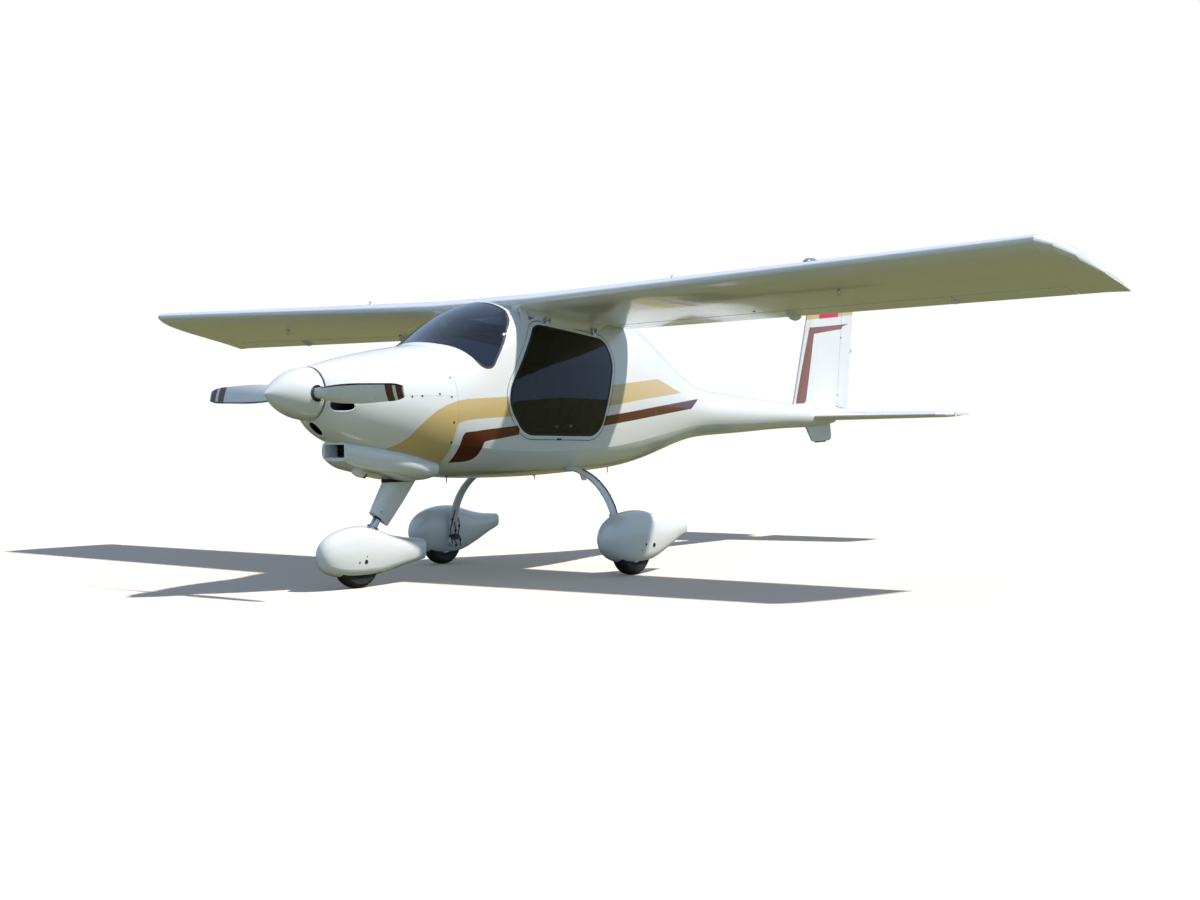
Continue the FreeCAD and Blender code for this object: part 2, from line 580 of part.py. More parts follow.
def wheel(axle):
    """Tyre and rim as solids of revolution about an axle along Y."""
    half = TYRE_WIDTH / 2
    crown = 26.0
    profile = [V(0, -half + 12, RIM_RADIUS - 2), V(0, -half, RIM_RADIUS + 22), V(0, -half, TYRE_RADIUS - 34),
               V(0, -crown - 4, TYRE_RADIUS - 4), V(0, 0, TYRE_RADIUS), V(0, crown + 4, TYRE_RADIUS - 4),
               V(0, half, TYRE_RADIUS - 34), V(0, half, RIM_RADIUS + 22), V(0, half - 12, RIM_RADIUS - 2)]
    edges = [line(profile[0], profile[1]), line(profile[1], profile[2]),
             arc3(profile[2], V(0, -half + 11, TYRE_RADIUS - 14), profile[3]),
             arc3(profile[3], profile[4], profile[5]),
             arc3(profile[5], V(0, half - 11, TYRE_RADIUS - 14), profile[6]),
             line(profile[6], profile[7]), line(profile[7], profile[8]), line(profile[8], profile[0])]
    tyre = Part.Face(Part.Wire(edges)).revolve(V(0, 0, 0), V(0, 1, 0), 360)
    lip = half - 12
    hub = HUB_WIDTH / 2
    right_side = [(hub, AXLE_RADIUS + RUN_CLEAR), (hub, 26), (12, 32), (12, RIM_RADIUS - 22),
                  (lip, RIM_RADIUS - 10), (lip, RIM_RADIUS - 2)]
    rim_outline = [(-y, r) for y, r in right_side] + right_side[::-1]
    rim = Part.Face(polygon([V(0, y, r) for y, r in rim_outline])).revolve(V(0, 0, 0), V(0, 1, 0), 360)
    tyre.translate(axle)
    rim.translate(axle)
    return tyre, rim


nose_tyre, nose_rim = wheel(nose_axle)

# ---- main gear, left -----------------------------------------------------------------------------
main_axle = V(X(MAIN_STATION), TRACK_Y, TYRE_RADIUS)
LEG_CENTRE = (330.0, 250.0)      # y, z of the centre of the leg's arc
LEG_RADIUS = 460.0
LEG_TURNS = (97.0, 45.0, -9.0)   # degrees from +Y at the leg's top, middle and foot
arc_points = [V(0, LEG_CENTRE[0] + LEG_RADIUS * math.cos(math.radians(a)),
                LEG_CENTRE[1] + LEG_RADIUS * math.sin(math.radians(a))) for a in LEG_TURNS]
leg_arc = arc3(*arc_points)
start_tangent = leg_arc.tangentAt(leg_arc.FirstParameter)
section_up = start_tangent.cross(V(1, 0, 0))
half_c, half_t = LEG_CHORD / 2, LEG_THICK / 2


def leg_point(u, w):
    return arc_points[0] + V(u, 0, 0) + section_up * w


flat = half_c - half_t
corner = [leg_point(u * flat, w * half_t) for u, w in ((-1, -1), (1, -1), (1, 1), (-1, 1))]
section = Part.Wire([line(corner[0], corner[1]), arc3(corner[1], leg_point(half_c, 0), corner[2]),
                     line(corner[2], corner[3]), arc3(corner[3], leg_point(-half_c, 0), corner[0])])
sweep_angle = math.degrees(abs(leg_arc.LastParameter - leg_arc.FirstParameter))
centre_point = leg_arc.Curve.Center
turn_axis = V(1, 0, 0)
if turn_axis.cross(arc_points[0] - centre_point).dot(start_tangent) < 0:
    turn_axis = V(-1, 0, 0)
leg = Part.Face(section).revolve(centre_point, turn_axis, sweep_angle)
leg.translate(V(X(MAIN_STATION), 0, 0))
inner_y = TRACK_Y - TYRE_WIDTH / 2 - MOVE_GAP - 4
foot = inner_y - arc_points[2].y + 8
plate = Part.makeCylinder(34, foot, V(main_axle.x, inner_y - foot, main_axle.z), V(0, 1, 0))
plate = plate.fuse(rod(V(main_axle.x, inner_y - 16, main_axle.z),
                       V(main_axle.x, TRACK_Y + TYRE_WIDTH / 2 + 10, main_axle.z), AXLE_RADIUS))
main_spat = hollow_spat(MAIN_SPAT, MAIN_STATION)
main_spat.translate(V(0, TRACK_Y, 0))
outer_boss = rod(V(0, TYRE_WIDTH / 2 + MOVE_GAP, 0), V(0, 150, 0), 15)
outer_boss.translate(V(main_axle.x, TRACK_Y, main_axle.z))
spat_solid = spat(MAIN_SPAT, MAIN_STATION)
spat_solid.translate(V(0, TRACK_Y, 0))
main_leg = fuse([leg, plate, outer_boss.common(spat_solid)])
main_spat = main_spat.cut(main_leg)
main_leg = main_leg.cut(rod(main_axle + V(0, AXLE_BORE_FROM, 0), main_axle + V(0, 150, 0), AXLE_BORE))
main_tyre, main_rim = wheel(main_axle)

# ---- pieces cut to each other --------------------------------------------------------------------
cowl = cowl.cut(nose_leg)
cowl = cowl.cut(intake)
chin = chin.cut(intake).cut(nose_leg)
shell = shell.cut(main_leg).cut(mirror(main_leg))

# ---- propeller -----------------------------------------------------------------------------------
prop_x = X(PROP_STATION)
hub = Part.makeCylinder(HUB_RADIUS, 2 * HUB_HALF, V(prop_x - HUB_HALF, 0, THRUST_Z), V(1, 0, 0))
# radius, chord, thickness, pitch in degrees
BLADE = ((46, 66, 62, 40), (165, 80, 54, 37), (225, 106, 36, 33), (360, 128, 21, 27), (560, 128, 15, 21),
         (760, 112, 10, 17), (880, 90, 7, 15), (PROP_RADIUS - 6, 62, 5, 14))


def blade_section(radius, chord, thickness, pitch):
    a = math.radians(pitch)
    along = V(math.sin(a), 0, math.cos(a))
    across = V(math.cos(a), 0, -math.sin(a))
    at = V(prop_x, radius, THRUST_Z)
    round_share = 0.5 if thickness > 40 else 0.42
    tip_a = at - along * (chord * (1 - round_share))
    tip_b = at + along * (chord * round_share)
    return Part.Wire([arc3(tip_a, at + across * (thickness * 0.55), tip_b),
                      arc3(tip_b, at - across * (thickness * 0.45), tip_a)])


blade = loft([blade_section(*row) for row in BLADE])
other = blade.copy()
other.rotate(V(prop_x, 0, THRUST_Z), V(1, 0, 0), 180)
propeller = fuse([hub, blade, other])
shaft_bore = rod(V(prop_x - 60, 0, THRUST_Z), V(prop_x + 60, 0, THRUST_Z), SHAFT_RADIUS + RUN_CLEAR)
propeller = propeller.cut(shaft_bore)

tip = V(X(0), 0, THRUST_Z)
base = V(X(SPINNER_LENGTH), 0, THRUST_Z + SPINNER_RADIUS)
shoulder = V(X(SPINNER_LENGTH * 0.42), 0, THRUST_Z + SPINNER_RADIUS * 0.70)
outline = [arc3(tip, shoulder, base), line(base, V(base.x, 0, THRUST_Z)), line(V(base.x, 0, THRUST_Z), tip)]
spinner = Part.Face(Part.Wire(outline)).revolve(V(0, 0, THRUST_Z), V(1, 0, 0), 360)
blade_hole = rod(V(prop_x, -300, THRUST_Z), V(prop_x, 300, THRUST_Z), BLADE_HOLE)
hub_hole = rod(V(prop_x - HUB_HALF - 100, 0, THRUST_Z), V(prop_x + HUB_HALF, 0, THRUST_Z), HUB_RADIUS)
spinner = spinner.cut(blade_hole).cut(hub_hole)
spinner = spinner.cut(rod(V(prop_x - 80, 0, THRUST_Z), V(prop_x + 70, 0, THRUST_Z), SHAFT_RADIUS + 5))

# ---- cabin fittings ------------------------------------------------------------------------------
SEAT_Y = 225.0
SEAT_HALF = 195.0
# side outline of a seat's pan and back: station, z
FLOOR_TOP = FLOOR_Z + FLOOR_PLATE
PAN = ((2060, FLOOR_TOP), (2060, 900), (2100, 925), (2430, 868), (2660, 1430), (2700, 1424), (2500, 850),
       (2440, FLOOR_TOP))
seat_pan = prism([V(X(s), -SEAT_HALF, z) for s, z in PAN], V(0, 2 * SEAT_HALF, 0))
SEAT_EDGE, BACK_EDGE = 2, 3     # the outline's edges that the cushions lie on


def on_pan(edge, share, out, radius):
    """A point a distance in front of one of the pan's edges, with its corner radius."""
    (a, az), (b, bz) = PAN[edge], PAN[edge + 1]
    length = math.hypot(b - a, bz - az)
    station = a + (b - a) * share - (bz - az) / length * out
    return (station, az + (bz - az) * share + (b - a) / length * out, radius)


cushion_width = (-SEAT_HALF + 8, SEAT_HALF - 8)
cushion_base = rounded((on_pan(SEAT_EDGE, 0.0, 60, 22), on_pan(SEAT_EDGE, 0.9, 68, 22),
                        on_pan(SEAT_EDGE, 0.9, SEAT_GAP, 10), on_pan(SEAT_EDGE, 0.0, SEAT_GAP, 10)),
                       cushion_width)
cushion_back = rounded((on_pan(BACK_EDGE, 0.13, 58, 20), on_pan(BACK_EDGE, 0.98, 62, 22),
                        on_pan(BACK_EDGE, 0.98, SEAT_GAP, 10), on_pan(BACK_EDGE, 0.13, SEAT_GAP, 10)),
                       cushion_width)
PANEL_STATION = 1490.0
panel = cabin_inner.common(slab(PANEL_STATION, PANEL_STATION + 14, (1130, 1395)))
hood = cabin_inner.common(slab(PANEL_STATION - 150, PANEL_STATION + 40, (1395, 1407), (-430, 430)))
panel = fuse([panel, hood]).cut(windshield)
stick = fuse([rod(V(X(1900), SEAT_Y, FLOOR_TOP), V(X(1880), SEAT_Y, 1120), 11),
              rod(V(X(1880), SEAT_Y, 1110), V(X(1872), SEAT_Y, 1230), 17),
              rod(V(X(1900), SEAT_Y, FLOOR_TOP), V(X(1898), SEAT_Y, FLOOR_Z + 50), 26)])


def at_seats(shape):
    out = []
    for y in (SEAT_Y, -SEAT_Y):
        copy = shape.copy()
        copy.translate(V(0, y, 0))
        out.append(copy)
    return Part.makeCompound(out)


pans = at_seats(seat_pan).common(body(CABIN, SKIN + 6))
cushions = Part.makeCompound(at_seats(cushion_base).Solids + at_seats(cushion_back).Solids)
stick = stick.cut(floor)
sticks = Part.makeCompound([stick, mirror(stick)])

SKYLIGHT = (1990, 2380, 250)
sky_hole = slab(SKYLIGHT[0], SKYLIGHT[1], (1600, 2100), (-SKYLIGHT[2], SKYLIGHT[2]))
lower_foil = centre.copy()
lower_foil.translate(V(0, 0, -GLASS))
skylight = centre.common(sky_hole).cut(lower_foil)
centre = centre.cut(sky_hole)

# ---- nodes ---------------------------------------------------------------------------------------
save("cowl_upper", cowl.common(slab(0, 2000, (COWL_SPLIT_Z, 3000))))
save("cowl_lower", cowl.common(slab(0, 2000, (0, COWL_SPLIT_Z))))
save("chin_scoop", chin)
save("engine_block", engine)
save("firewall", firewall)
save("cabin_shell", shell)
save("cabin_floor", floor)
save("windshield", windshield)
save("skylight", skylight)
save("wing_centre", centre)
save("tail_boom", boom)
save("fin", fin)
save("rudder", rudder)
save("stabiliser", stabiliser)
save("elevator", elevator)
save("ventral_fin", ventral)
for side, flip in (("left", False), ("right", True)):
    pieces = {"wing": wing, "flaperon": flaperon, "door_frame": door_panel, "door_glass": door_glass,
              "door_hinges": Part.makeCompound(door_hinges), "main_leg": main_leg, "main_spat": main_spat,
              "main_tyre": main_tyre, "main_rim": main_rim}
    for name, shape in pieces.items():
        save(name + "_" + side, mirror(shape) if flip else shape)
save("nose_leg", nose_leg)
save("nose_fork", fork)
save("nose_spat", nose_spat)
save("nose_tyre", nose_tyre)
save("nose_rim", nose_rim)
save("propeller", propeller)
save("spinner", spinner)
save("seat_pans", pans)
save("seat_cushions", cushions)
save("instrument_panel", panel)
save("control_sticks", sticks)
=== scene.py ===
"""Looks of the high-wing microlight aircraft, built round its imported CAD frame.

Metres, in the frame's axes: +X to the nose, +Y to the aircraft's left, +Z up, tyres on z = 0.
"""
from math import copysign, cos, pi, radians, sin, tan

import bmesh
import bpy
from mathutils import Matrix, Vector
from mathutils.bvhtree import BVHTree


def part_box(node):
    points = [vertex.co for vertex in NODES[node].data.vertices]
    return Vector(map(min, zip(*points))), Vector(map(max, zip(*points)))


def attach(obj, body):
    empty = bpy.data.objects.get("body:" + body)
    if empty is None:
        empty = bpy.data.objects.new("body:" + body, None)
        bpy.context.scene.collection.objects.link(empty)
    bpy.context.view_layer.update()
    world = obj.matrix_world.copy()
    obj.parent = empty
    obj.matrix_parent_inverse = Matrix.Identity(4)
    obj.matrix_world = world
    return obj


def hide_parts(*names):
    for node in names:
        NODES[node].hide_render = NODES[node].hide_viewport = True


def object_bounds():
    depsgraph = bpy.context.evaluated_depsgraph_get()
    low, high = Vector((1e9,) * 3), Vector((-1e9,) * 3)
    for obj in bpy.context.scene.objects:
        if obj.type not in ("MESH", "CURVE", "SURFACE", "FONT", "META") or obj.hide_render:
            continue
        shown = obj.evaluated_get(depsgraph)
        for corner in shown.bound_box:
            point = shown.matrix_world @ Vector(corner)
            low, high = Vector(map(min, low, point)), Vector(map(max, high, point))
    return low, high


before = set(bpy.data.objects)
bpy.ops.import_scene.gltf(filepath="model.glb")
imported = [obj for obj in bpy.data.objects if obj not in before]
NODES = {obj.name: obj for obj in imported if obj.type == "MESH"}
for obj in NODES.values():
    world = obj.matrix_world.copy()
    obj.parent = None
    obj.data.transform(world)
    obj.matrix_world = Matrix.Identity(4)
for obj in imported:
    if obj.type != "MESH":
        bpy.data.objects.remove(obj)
CAD_BOX = [list(corner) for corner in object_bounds()]
NOSE_X = CAD_BOX[1][0]
SIDES = (("left", 1.0), ("right", -1.0))
BOTH = (1.0, -1.0)
X_AXIS, Y_AXIS, Z_AXIS = Vector((1, 0, 0)), Vector((0, 1, 0)), Vector((0, 0, 1))
AFT = -X_AXIS
CORE = 1e-5         # radius of the end points of a solid turned part


def at_station(station):
    """x of a place given in metres aft of the spinner's tip."""
    return NOSE_X - station


def middle(node):
    low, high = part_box(node)
    return (low + high) / 2


def half_size(node):
    """Half of a node's width and of its height."""
    low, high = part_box(node)
    return (high.y - low.y) / 2, (high.z - low.z) / 2


def around(count, shift=0.0):
    """Angles of equal steps round a circle."""
    return [2 * pi * (k + shift) / count for k in range(count)]


def spoke(angle, first=Y_AXIS, second=Z_AXIS):
    """A unit arm turned from one axis towards another."""
    return first * cos(angle) + second * sin(angle)


def met(hits):
    """The rays of a row that met a skin."""
    return [found for found in hits if found]


def add_object(name, data):
    made = bpy.data.objects.new(name, data)
    bpy.context.collection.objects.link(made)
    return made


# ---- node trees ----
class Tree:
    """The node tree of a material or world, with short calls for the nodes that the finishes share."""

    def __init__(self, owner, coordinates="Object"):
        self.owner = bpy.data.materials.new(owner) if isinstance(owner, str) else owner
        self.owner.use_nodes = True
        self.nodes, self.links = self.owner.node_tree.nodes, self.owner.node_tree.links
        self.place = self.node("TexCoord").outputs[coordinates]

    def node(self, kind, inputs=(), **settings):
        made = self.nodes.new("ShaderNode" + kind)
        for key, value in settings.items():
            setattr(made, key, value)
        for key, value in dict(inputs).items():
            self.put(value, made.inputs[key])
        return made

    def put(self, value, socket):
        """Links a socket to a node's input, or sets it to a value."""
        if isinstance(value, bpy.types.NodeSocket):
            self.links.new(value, socket)
        else:
            socket.default_value = value

    def math(self, operation, *values):
        return self.node("Math", enumerate(values), operation=operation).outputs[0]

    def times(self, *values):
        return self.math("MULTIPLY", *values)

    def between(self, value, low, high):
        """1 where a value is between two others, else 0."""
        return self.times(self.math("LESS_THAN", value, high), self.math("GREATER_THAN", value, low))

    def mapped(self, **inputs):
        return self.node("Mapping", {"Vector": self.place, **inputs}).outputs["Vector"]

    def noise(self, scale, detail=3.0, rough=0.55, stretch=None):
        place = self.mapped(Scale=stretch) if stretch else self.place
        return self.node("TexNoise", {"Scale": scale, "Detail": detail, "Roughness": rough,
                                      "Vector": place}).outputs["Fac"]

    def spread(self, value, low, high, to_low=0.0, to_high=1.0):
        return self.node("MapRange", {"Value": value, "From Min": low, "From Max": high, "To Min": to_low,
                                      "To Max": to_high}).outputs[0]

    def tone(self, scale, detail, to_low=0.0, to_high=1.0):
        """Soft blotches of noise, spread between two values."""
        return self.spread(self.noise(scale, detail), 0.3, 0.7, to_low, to_high)

    def mix(self, share, first, second):
        made = self.node("Mix", {"Factor": share, "A": first, "B": second}, data_type="RGBA")
        return made.outputs["Result"]

    def bump(self, height, strength, distance):
        made = self.node("Bump", {"Strength": strength, "Distance": distance, "Height": height})
        self.links.new(made.outputs["Normal"], self.nodes["Principled BSDF"].inputs["Normal"])

    def set(self, **values):
        names = {"color": "Base Color", "rough": "Roughness", "metal": "Metallic", "coat": "Coat Weight",
                 "coat_rough": "Coat Roughness", "clear": "Transmission Weight", "ior": "IOR",
                 "sheen": "Sheen Weight", "specular": "Specular IOR Level", "glow": "Emission Color",
                 "glow_strength": "Emission Strength"}
        for key, value in values.items():
            self.put(value, self.nodes["Principled BSDF"].inputs[names[key]])
        return self.owner

    def axes(self):
        return self.node("SeparateXYZ", {0: self.place}).outputs

    def curve(self, value, points, low, high):
        """A height looked up along x: points are (x, z), joined by straight lines."""
        x0, x1 = points[0][0], points[-1][0]
        made = self.node("FloatCurve", {"Value": self.spread(value, x0, x1)})
        line = made.mapping.curves[0]
        for i, (x, z) in enumerate(points):
            spot = ((x - x0) / (x1 - x0), (z - low) / (high - low))
            if 0 < i < len(points) - 1:
                point = line.points.new(*spot)
            else:
                point = line.points[0 if i == 0 else -1]
                point.location = spot
            point.handle_type = "VECTOR"
        made.mapping.update()
        return self.spread(made.outputs[0], 0.0, 1.0, low, high)

    def seen_directly(self):
        """1 for the rays that see the backdrop straight or through glass, 0 for light and reflections."""
        path = self.node("LightPath").outputs
        return self.math("MAXIMUM", path["Is Camera Ray"], path["Is Transmission Ray"])


def rgb(red, green, blue):
    """Linear colour of an sRGB one given from 0 to 255."""
    shares = (value / 255 for value in (red, green, blue))
    return (*(s / 12.92 if s < 0.04045 else ((s + 0.055) / 1.055) ** 2.4 for s in shares), 1.0)


def darker(color, share):
    return (*(c * share for c in color[:3]), 1.0)


WHITE, RED = rgb(229, 230, 229), rgb(206, 8, 44)
# the fin's brown is the stripes' brown lightened by a painted reflection of the sky
TAN, BROWN, FIN_BROWN_PAINTED_REFLECTION = rgb(207, 181, 122), rgb(92, 42, 25), rgb(134, 90, 78)

# Painted stripes, seen from the side: colour, top edge and bottom edge as (x, z) points from front to back
STRIPES = (
    (TAN, ((2.6, 0.8), (2.511, 0.884), (2.471, 0.914), (2.441, 0.948), (2.399, 1.007), (2.341, 1.066),
           (2.272, 1.118), (2.197, 1.153), (2.12, 1.174), (2.049, 1.186), (1.908, 1.193), (1.6, 1.204)),
     ((2.6, 0.5), (2.133, 0.5), (2.13, 0.8), (2.126, 0.93), (2.122, 1.005), (2.112, 1.026),
      (2.095, 1.038), (2.049, 1.05), (1.972, 1.058), (1.865, 1.063), (1.6, 1.076))),
    (BROWN, ((2.07, 0.6), (2.066, 0.9), (2.062, 0.945), (2.054, 0.965), (2.04, 0.974), (1.959, 0.981),
             (1.857, 0.992), (1.6, 1.013)),
     ((2.07, 0.778), (1.974, 0.782), (1.935, 0.789), (1.912, 0.8), (1.898, 0.82), (1.889, 0.857),
      (1.884, 0.897), (1.874, 0.912), (1.84, 0.919), (1.76, 0.929), (1.6, 0.952))),
    (TAN, ((0.8, 1.271), (0.656, 1.283), (0.362, 1.307), (0.007, 1.334), (-0.03, 1.33), (-0.405, 1.236)),
     ((0.8, 1.13), (0.708, 1.137), (0.298, 1.179), (-0.405, 1.2355))),
    (BROWN, ((0.9, 1.048), (0.738, 1.067), (0.141, 1.122), (-0.692, 1.192)),
     ((0.9, 0.987), (0.775, 0.998), (0.13, 1.057), (-0.561, 1.115), (-0.692, 1.1915))),
)
# the fin's stripes; the brown one carries the painted sky reflection
FIN_STRIPES = (
    (FIN_BROWN_PAINTED_REFLECTION, ((-2.316, 1.16), (-2.322, 1.19), (-2.381, 1.374), (-2.444, 1.562), (-2.505, 1.743),
                 (-2.531, 1.806), (-2.799, 1.828), (-3.16, 1.86)),
     ((-2.316, 1.155), (-2.415, 1.158), (-2.44, 1.178), (-2.476, 1.315), (-2.53, 1.529),
      (-2.584, 1.753), (-2.798, 1.781), (-3.02, 1.806), (-3.05, 1.832), (-3.16, 1.8595))),
    (TAN, ((-2.4, 1.924), (-3.3, 2.01)), ((-2.4, 1.862), (-3.3, 1.946))),
    (RED, ((-2.665, 1.962), (-2.973, 1.99)), ((-2.665, 1.884), (-2.973, 1.913))),
)
STRIPE_MARGIN = 0.05        # room above and below a stripe's edges in its height curves
SEAM_HALF = 0.0011
COWL_BACK, _, COWL_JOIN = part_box("cowl_upper")[0]
COWL_SEAM_FRONT = 2.55


def gelcoat(name, stripes=(), seams=()):
    """Gloss white gelcoat with painted stripes; seams are hairlines: (axis, place, back x, front x)."""
    tree = Tree(name)
    x, _, z = tree.axes()
    color = tree.mix(tree.tone(2.6, 4.0), WHITE, darker(WHITE, 0.965))
    for paint, top, bottom in stripes:
        low = min(p[1] for p in top + bottom) - STRIPE_MARGIN
        high = max(p[1] for p in top + bottom) + STRIPE_MARGIN
        upper, lower = (tree.curve(x, line, low, high) for line in (top, bottom))
        inside = tree.times(tree.between(z, lower, upper), tree.between(x, top[-1][0], top[0][0]))
        color = tree.mix(inside, color, paint)
    ripple = tree.math("ADD", tree.noise(9.0, 2.0), tree.times(tree.noise(420.0, 2.0), 0.05))
    line = 0.0
    for axis, place, back, front in seams:
        away = tree.math("ABSOLUTE", tree.math("SUBTRACT", {"x": x, "z": z}[axis], place))
        near = tree.times(tree.math("LESS_THAN", away, SEAM_HALF), tree.between(x, back, front))
        line = tree.math("MAXIMUM", line, near)
    if seams:
        color = tree.mix(tree.times(line, 0.55), color, rgb(90, 92, 95))
        ripple = tree.math("SUBTRACT", ripple, tree.times(line, 0.6))
    tree.bump(ripple, 0.22, 0.0012)
    rough = tree.spread(tree.noise(14.0, 5.0), 0.35, 0.7, 0.16, 0.25)
    return tree.set(color=color, rough=rough, coat=0.6, coat_rough=0.04, ior=1.5)


def plastic(name, color, rough=0.5, grain=900.0, strength=0.25):
    """Moulded plastic or trim with a fine leather grain and small shifts of tone."""
    tree = Tree(name)
    tree.bump(tree.noise(grain), strength, 0.0004)
    return tree.set(color=tree.mix(tree.tone(6.0, 4.0, 0.86, 1.0), darker(color, 0.7), color),
                    rough=tree.tone(30.0, 3.0, rough - 0.06, rough + 0.08))


def metal(name, color, rough=0.3):
    """Metal with fine machining lines and a varying polish."""
    tree = Tree(name)
    brushed = tree.noise(3.0, 6.0, 0.7, (40.0, 40.0, 900.0))
    tree.bump(brushed, 0.12, 0.0003)
    return tree.set(color=tree.mix(tree.tone(12.0, 3.0), color, darker(color, 0.82)),
                    rough=tree.spread(brushed, 0.3, 0.7, rough - 0.08, rough + 0.1), metal=1.0)


def glazing(name, color, clear=1.0):
    """Tinted acrylic, with faint streaks in its polish."""
    tree = Tree(name)
    streaks = tree.noise(5.0, 4.0, 0.6, (1.0, 1.0, 6.0))
    tree.bump(streaks, 0.05, 0.0008)
    return tree.set(color=tree.mix(tree.spread(streaks, 0.3, 0.8), color, darker(color, 0.9)),
                    rough=tree.spread(streaks, 0.4, 0.8, 0.0, 0.03), clear=clear, ior=1.45)


def rubber(name, color):
    """Tyre rubber: dull, scuffed and a little dusty."""
    tree = Tree(name)
    dust = tree.spread(tree.noise(22.0, 6.0), 0.48, 0.75, 0.0, 0.35)
    tree.bump(tree.noise(260.0, 4.0), 0.5, 0.0008)
    return tree.set(color=tree.mix(dust, color, rgb(84, 78, 70)),
                    rough=tree.spread(dust, 0.0, 0.35, 0.62, 0.85))


def cloth(name, color, second):
    """Woven upholstery with a visible thread and a soft sheen."""
    tree = Tree(name)
    threads = tree.times(*(
        tree.node("TexWave", {"Scale": 160.0, "Distortion": 1.5, "Detail Scale": 3.0,
                              "Vector": tree.mapped(Rotation=(0.0, angle, angle))}).outputs["Fac"]
        for angle in (0.0, pi / 2)))
    shade = tree.mix(tree.spread(tree.noise(9.0, 5.0), 0.35, 0.7), color, second)
    shade = tree.mix(tree.times(threads, 0.4), shade, darker(color, 0.45))
    tree.bump(threads, 0.6, 0.0008)
    return tree.set(color=shade, rough=0.9, sheen=0.35)


PROP_AXIS_Z = middle("spinner").z
BLADE_BANDS = ((0.766, 0.829), (0.855, 0.908))
# radius from the axis, height of the dark strip's lower edge ahead of the axis
BLADE_EDGE = ((0.16, 0.046), (0.225, 0.029), (0.36, 0.0385), (0.56, 0.0405), (0.76, 0.036), (0.88, 0.0275),
              (0.93, 0.016))


def blade_paint(name):
    """White blades with coloured bands and a dark erosion strip, all in one material."""
    tree = Tree(name)
    _, y, z = tree.axes()
    radius = tree.math("ABSOLUTE", y)
    color = tree.mix(tree.tone(3.0, 3.0), WHITE, rgb(222, 224, 226))
    for low, high in BLADE_BANDS:
        color = tree.mix(tree.between(radius, low, high), color, rgb(86, 36, 24))
    front = tree.times(tree.math("SUBTRACT", z, PROP_AXIS_Z), tree.math("SIGN", y))
    strip = tree.math("GREATER_THAN", front, tree.curve(radius, BLADE_EDGE, 0.0, 0.06))
    color = tree.mix(strip, color, rgb(24, 28, 46))
    tree.bump(tree.noise(500.0, 2.0), 0.05, 0.0003)
    return tree.set(color=color, rough=tree.tone(20.0, 4.0, 0.2, 0.3), coat=0.4)


MATERIALS = {
    "hull": gelcoat("hull_gelcoat", STRIPES, (("x", COWL_BACK, COWL_BACK - 0.01, COWL_BACK + 0.01),
                                              ("z", COWL_JOIN, COWL_BACK, COWL_SEAM_FRONT))),
    "fin": gelcoat("fin_gelcoat", FIN_STRIPES),
    "white": gelcoat("white_gelcoat"),
    "propeller": blade_paint("propeller_white"),
    "windshield": glazing("windshield_tint", rgb(120, 138, 170)),
    "door_glass": glazing("door_tint", rgb(74, 79, 95)),
    "red_lens": glazing("red_lens", rgb(200, 24, 26), 0.35),
    "green_lens": glazing("green_lens", rgb(20, 150, 70), 0.35),
    "clear_lens": glazing("clear_lens", rgb(232, 236, 240), 0.6),
    "rubber": rubber("tyre_rubber", rgb(26, 26, 27)),
    "rim": metal("cast_rim", rgb(196, 198, 202), 0.34),
    "steel": metal("polished_steel", rgb(200, 202, 206), 0.16),
    "dark_metal": metal("dark_metal", rgb(74, 74, 78), 0.42),
    "engine": metal("engine_casting", rgb(92, 92, 96), 0.5),
    "burnt": metal("heat_tinted_steel", rgb(120, 104, 92), 0.38),
    "seal": plastic("black_seal", rgb(24, 24, 26), 0.6),
    "trim": plastic("dark_trim", rgb(58, 58, 61), 0.62),
    "black": plastic("black_plastic", rgb(22, 22, 24), 0.45),
    "screen": plastic("instrument_screen", rgb(14, 16, 20), 0.16, 300.0, 0.03),
    "mark_white": plastic("dial_marks", rgb(225, 225, 220), 0.5),
    "leather": plastic("black_leather", rgb(32, 31, 31), 0.55, 700.0, 0.5),
    "red_plastic": plastic("red_plastic", rgb(176, 24, 22), 0.4),
    # blue-grey for the wing's blister instead of white: painted shade
    "smoke": plastic("blister_painted_shade", rgb(104, 118, 130), 0.3, 300.0, 0.05),
    "cushion": cloth("seat_cloth", rgb(96, 92, 88), rgb(78, 74, 71)),
    "webbing": cloth("harness_web", rgb(34, 35, 40), rgb(24, 25, 28)),
}
# slot names by material, looked up in piece() where a piece doesn't name its own
SLOTS = {material: slot for slot, materials in {
    "white_gelcoat": "hull white", "glass": "red_lens green_lens clear_lens screen", "tyre": "rubber",
    "steel": "steel dark_metal burnt", "composite_dark": "black red_plastic smoke",
    "interior": "seal trim mark_white leather webbing"}.items() for material in materials.split()}
# the plain solids' materials; those not named here are white
NODE_FINISH = {node: finish for finish, nodes in {
    "hull": "cowl_upper cowl_lower cabin_shell door_frame_left door_frame_right tail_boom",
    "fin": "fin rudder",
    "propeller": "propeller",
    "windshield": "windshield skylight",
    "door_glass": "door_glass_left door_glass_right",
    "engine": "engine_block",
    "steel": "firewall nose_fork door_hinges_left door_hinges_right",
    "trim": "cabin_floor seat_pans instrument_panel",
    "black": "control_sticks",
    "cushion": "seat_cushions",
    "rubber": "nose_tyre main_tyre_left main_tyre_right",
    "rim": "nose_rim main_rim_left main_rim_right"}.items() for node in nodes.split()}
for name, node in NODES.items():
    node.data.materials.clear()
    node.data.materials.append(MATERIALS[NODE_FINISH.get(name, "white")])


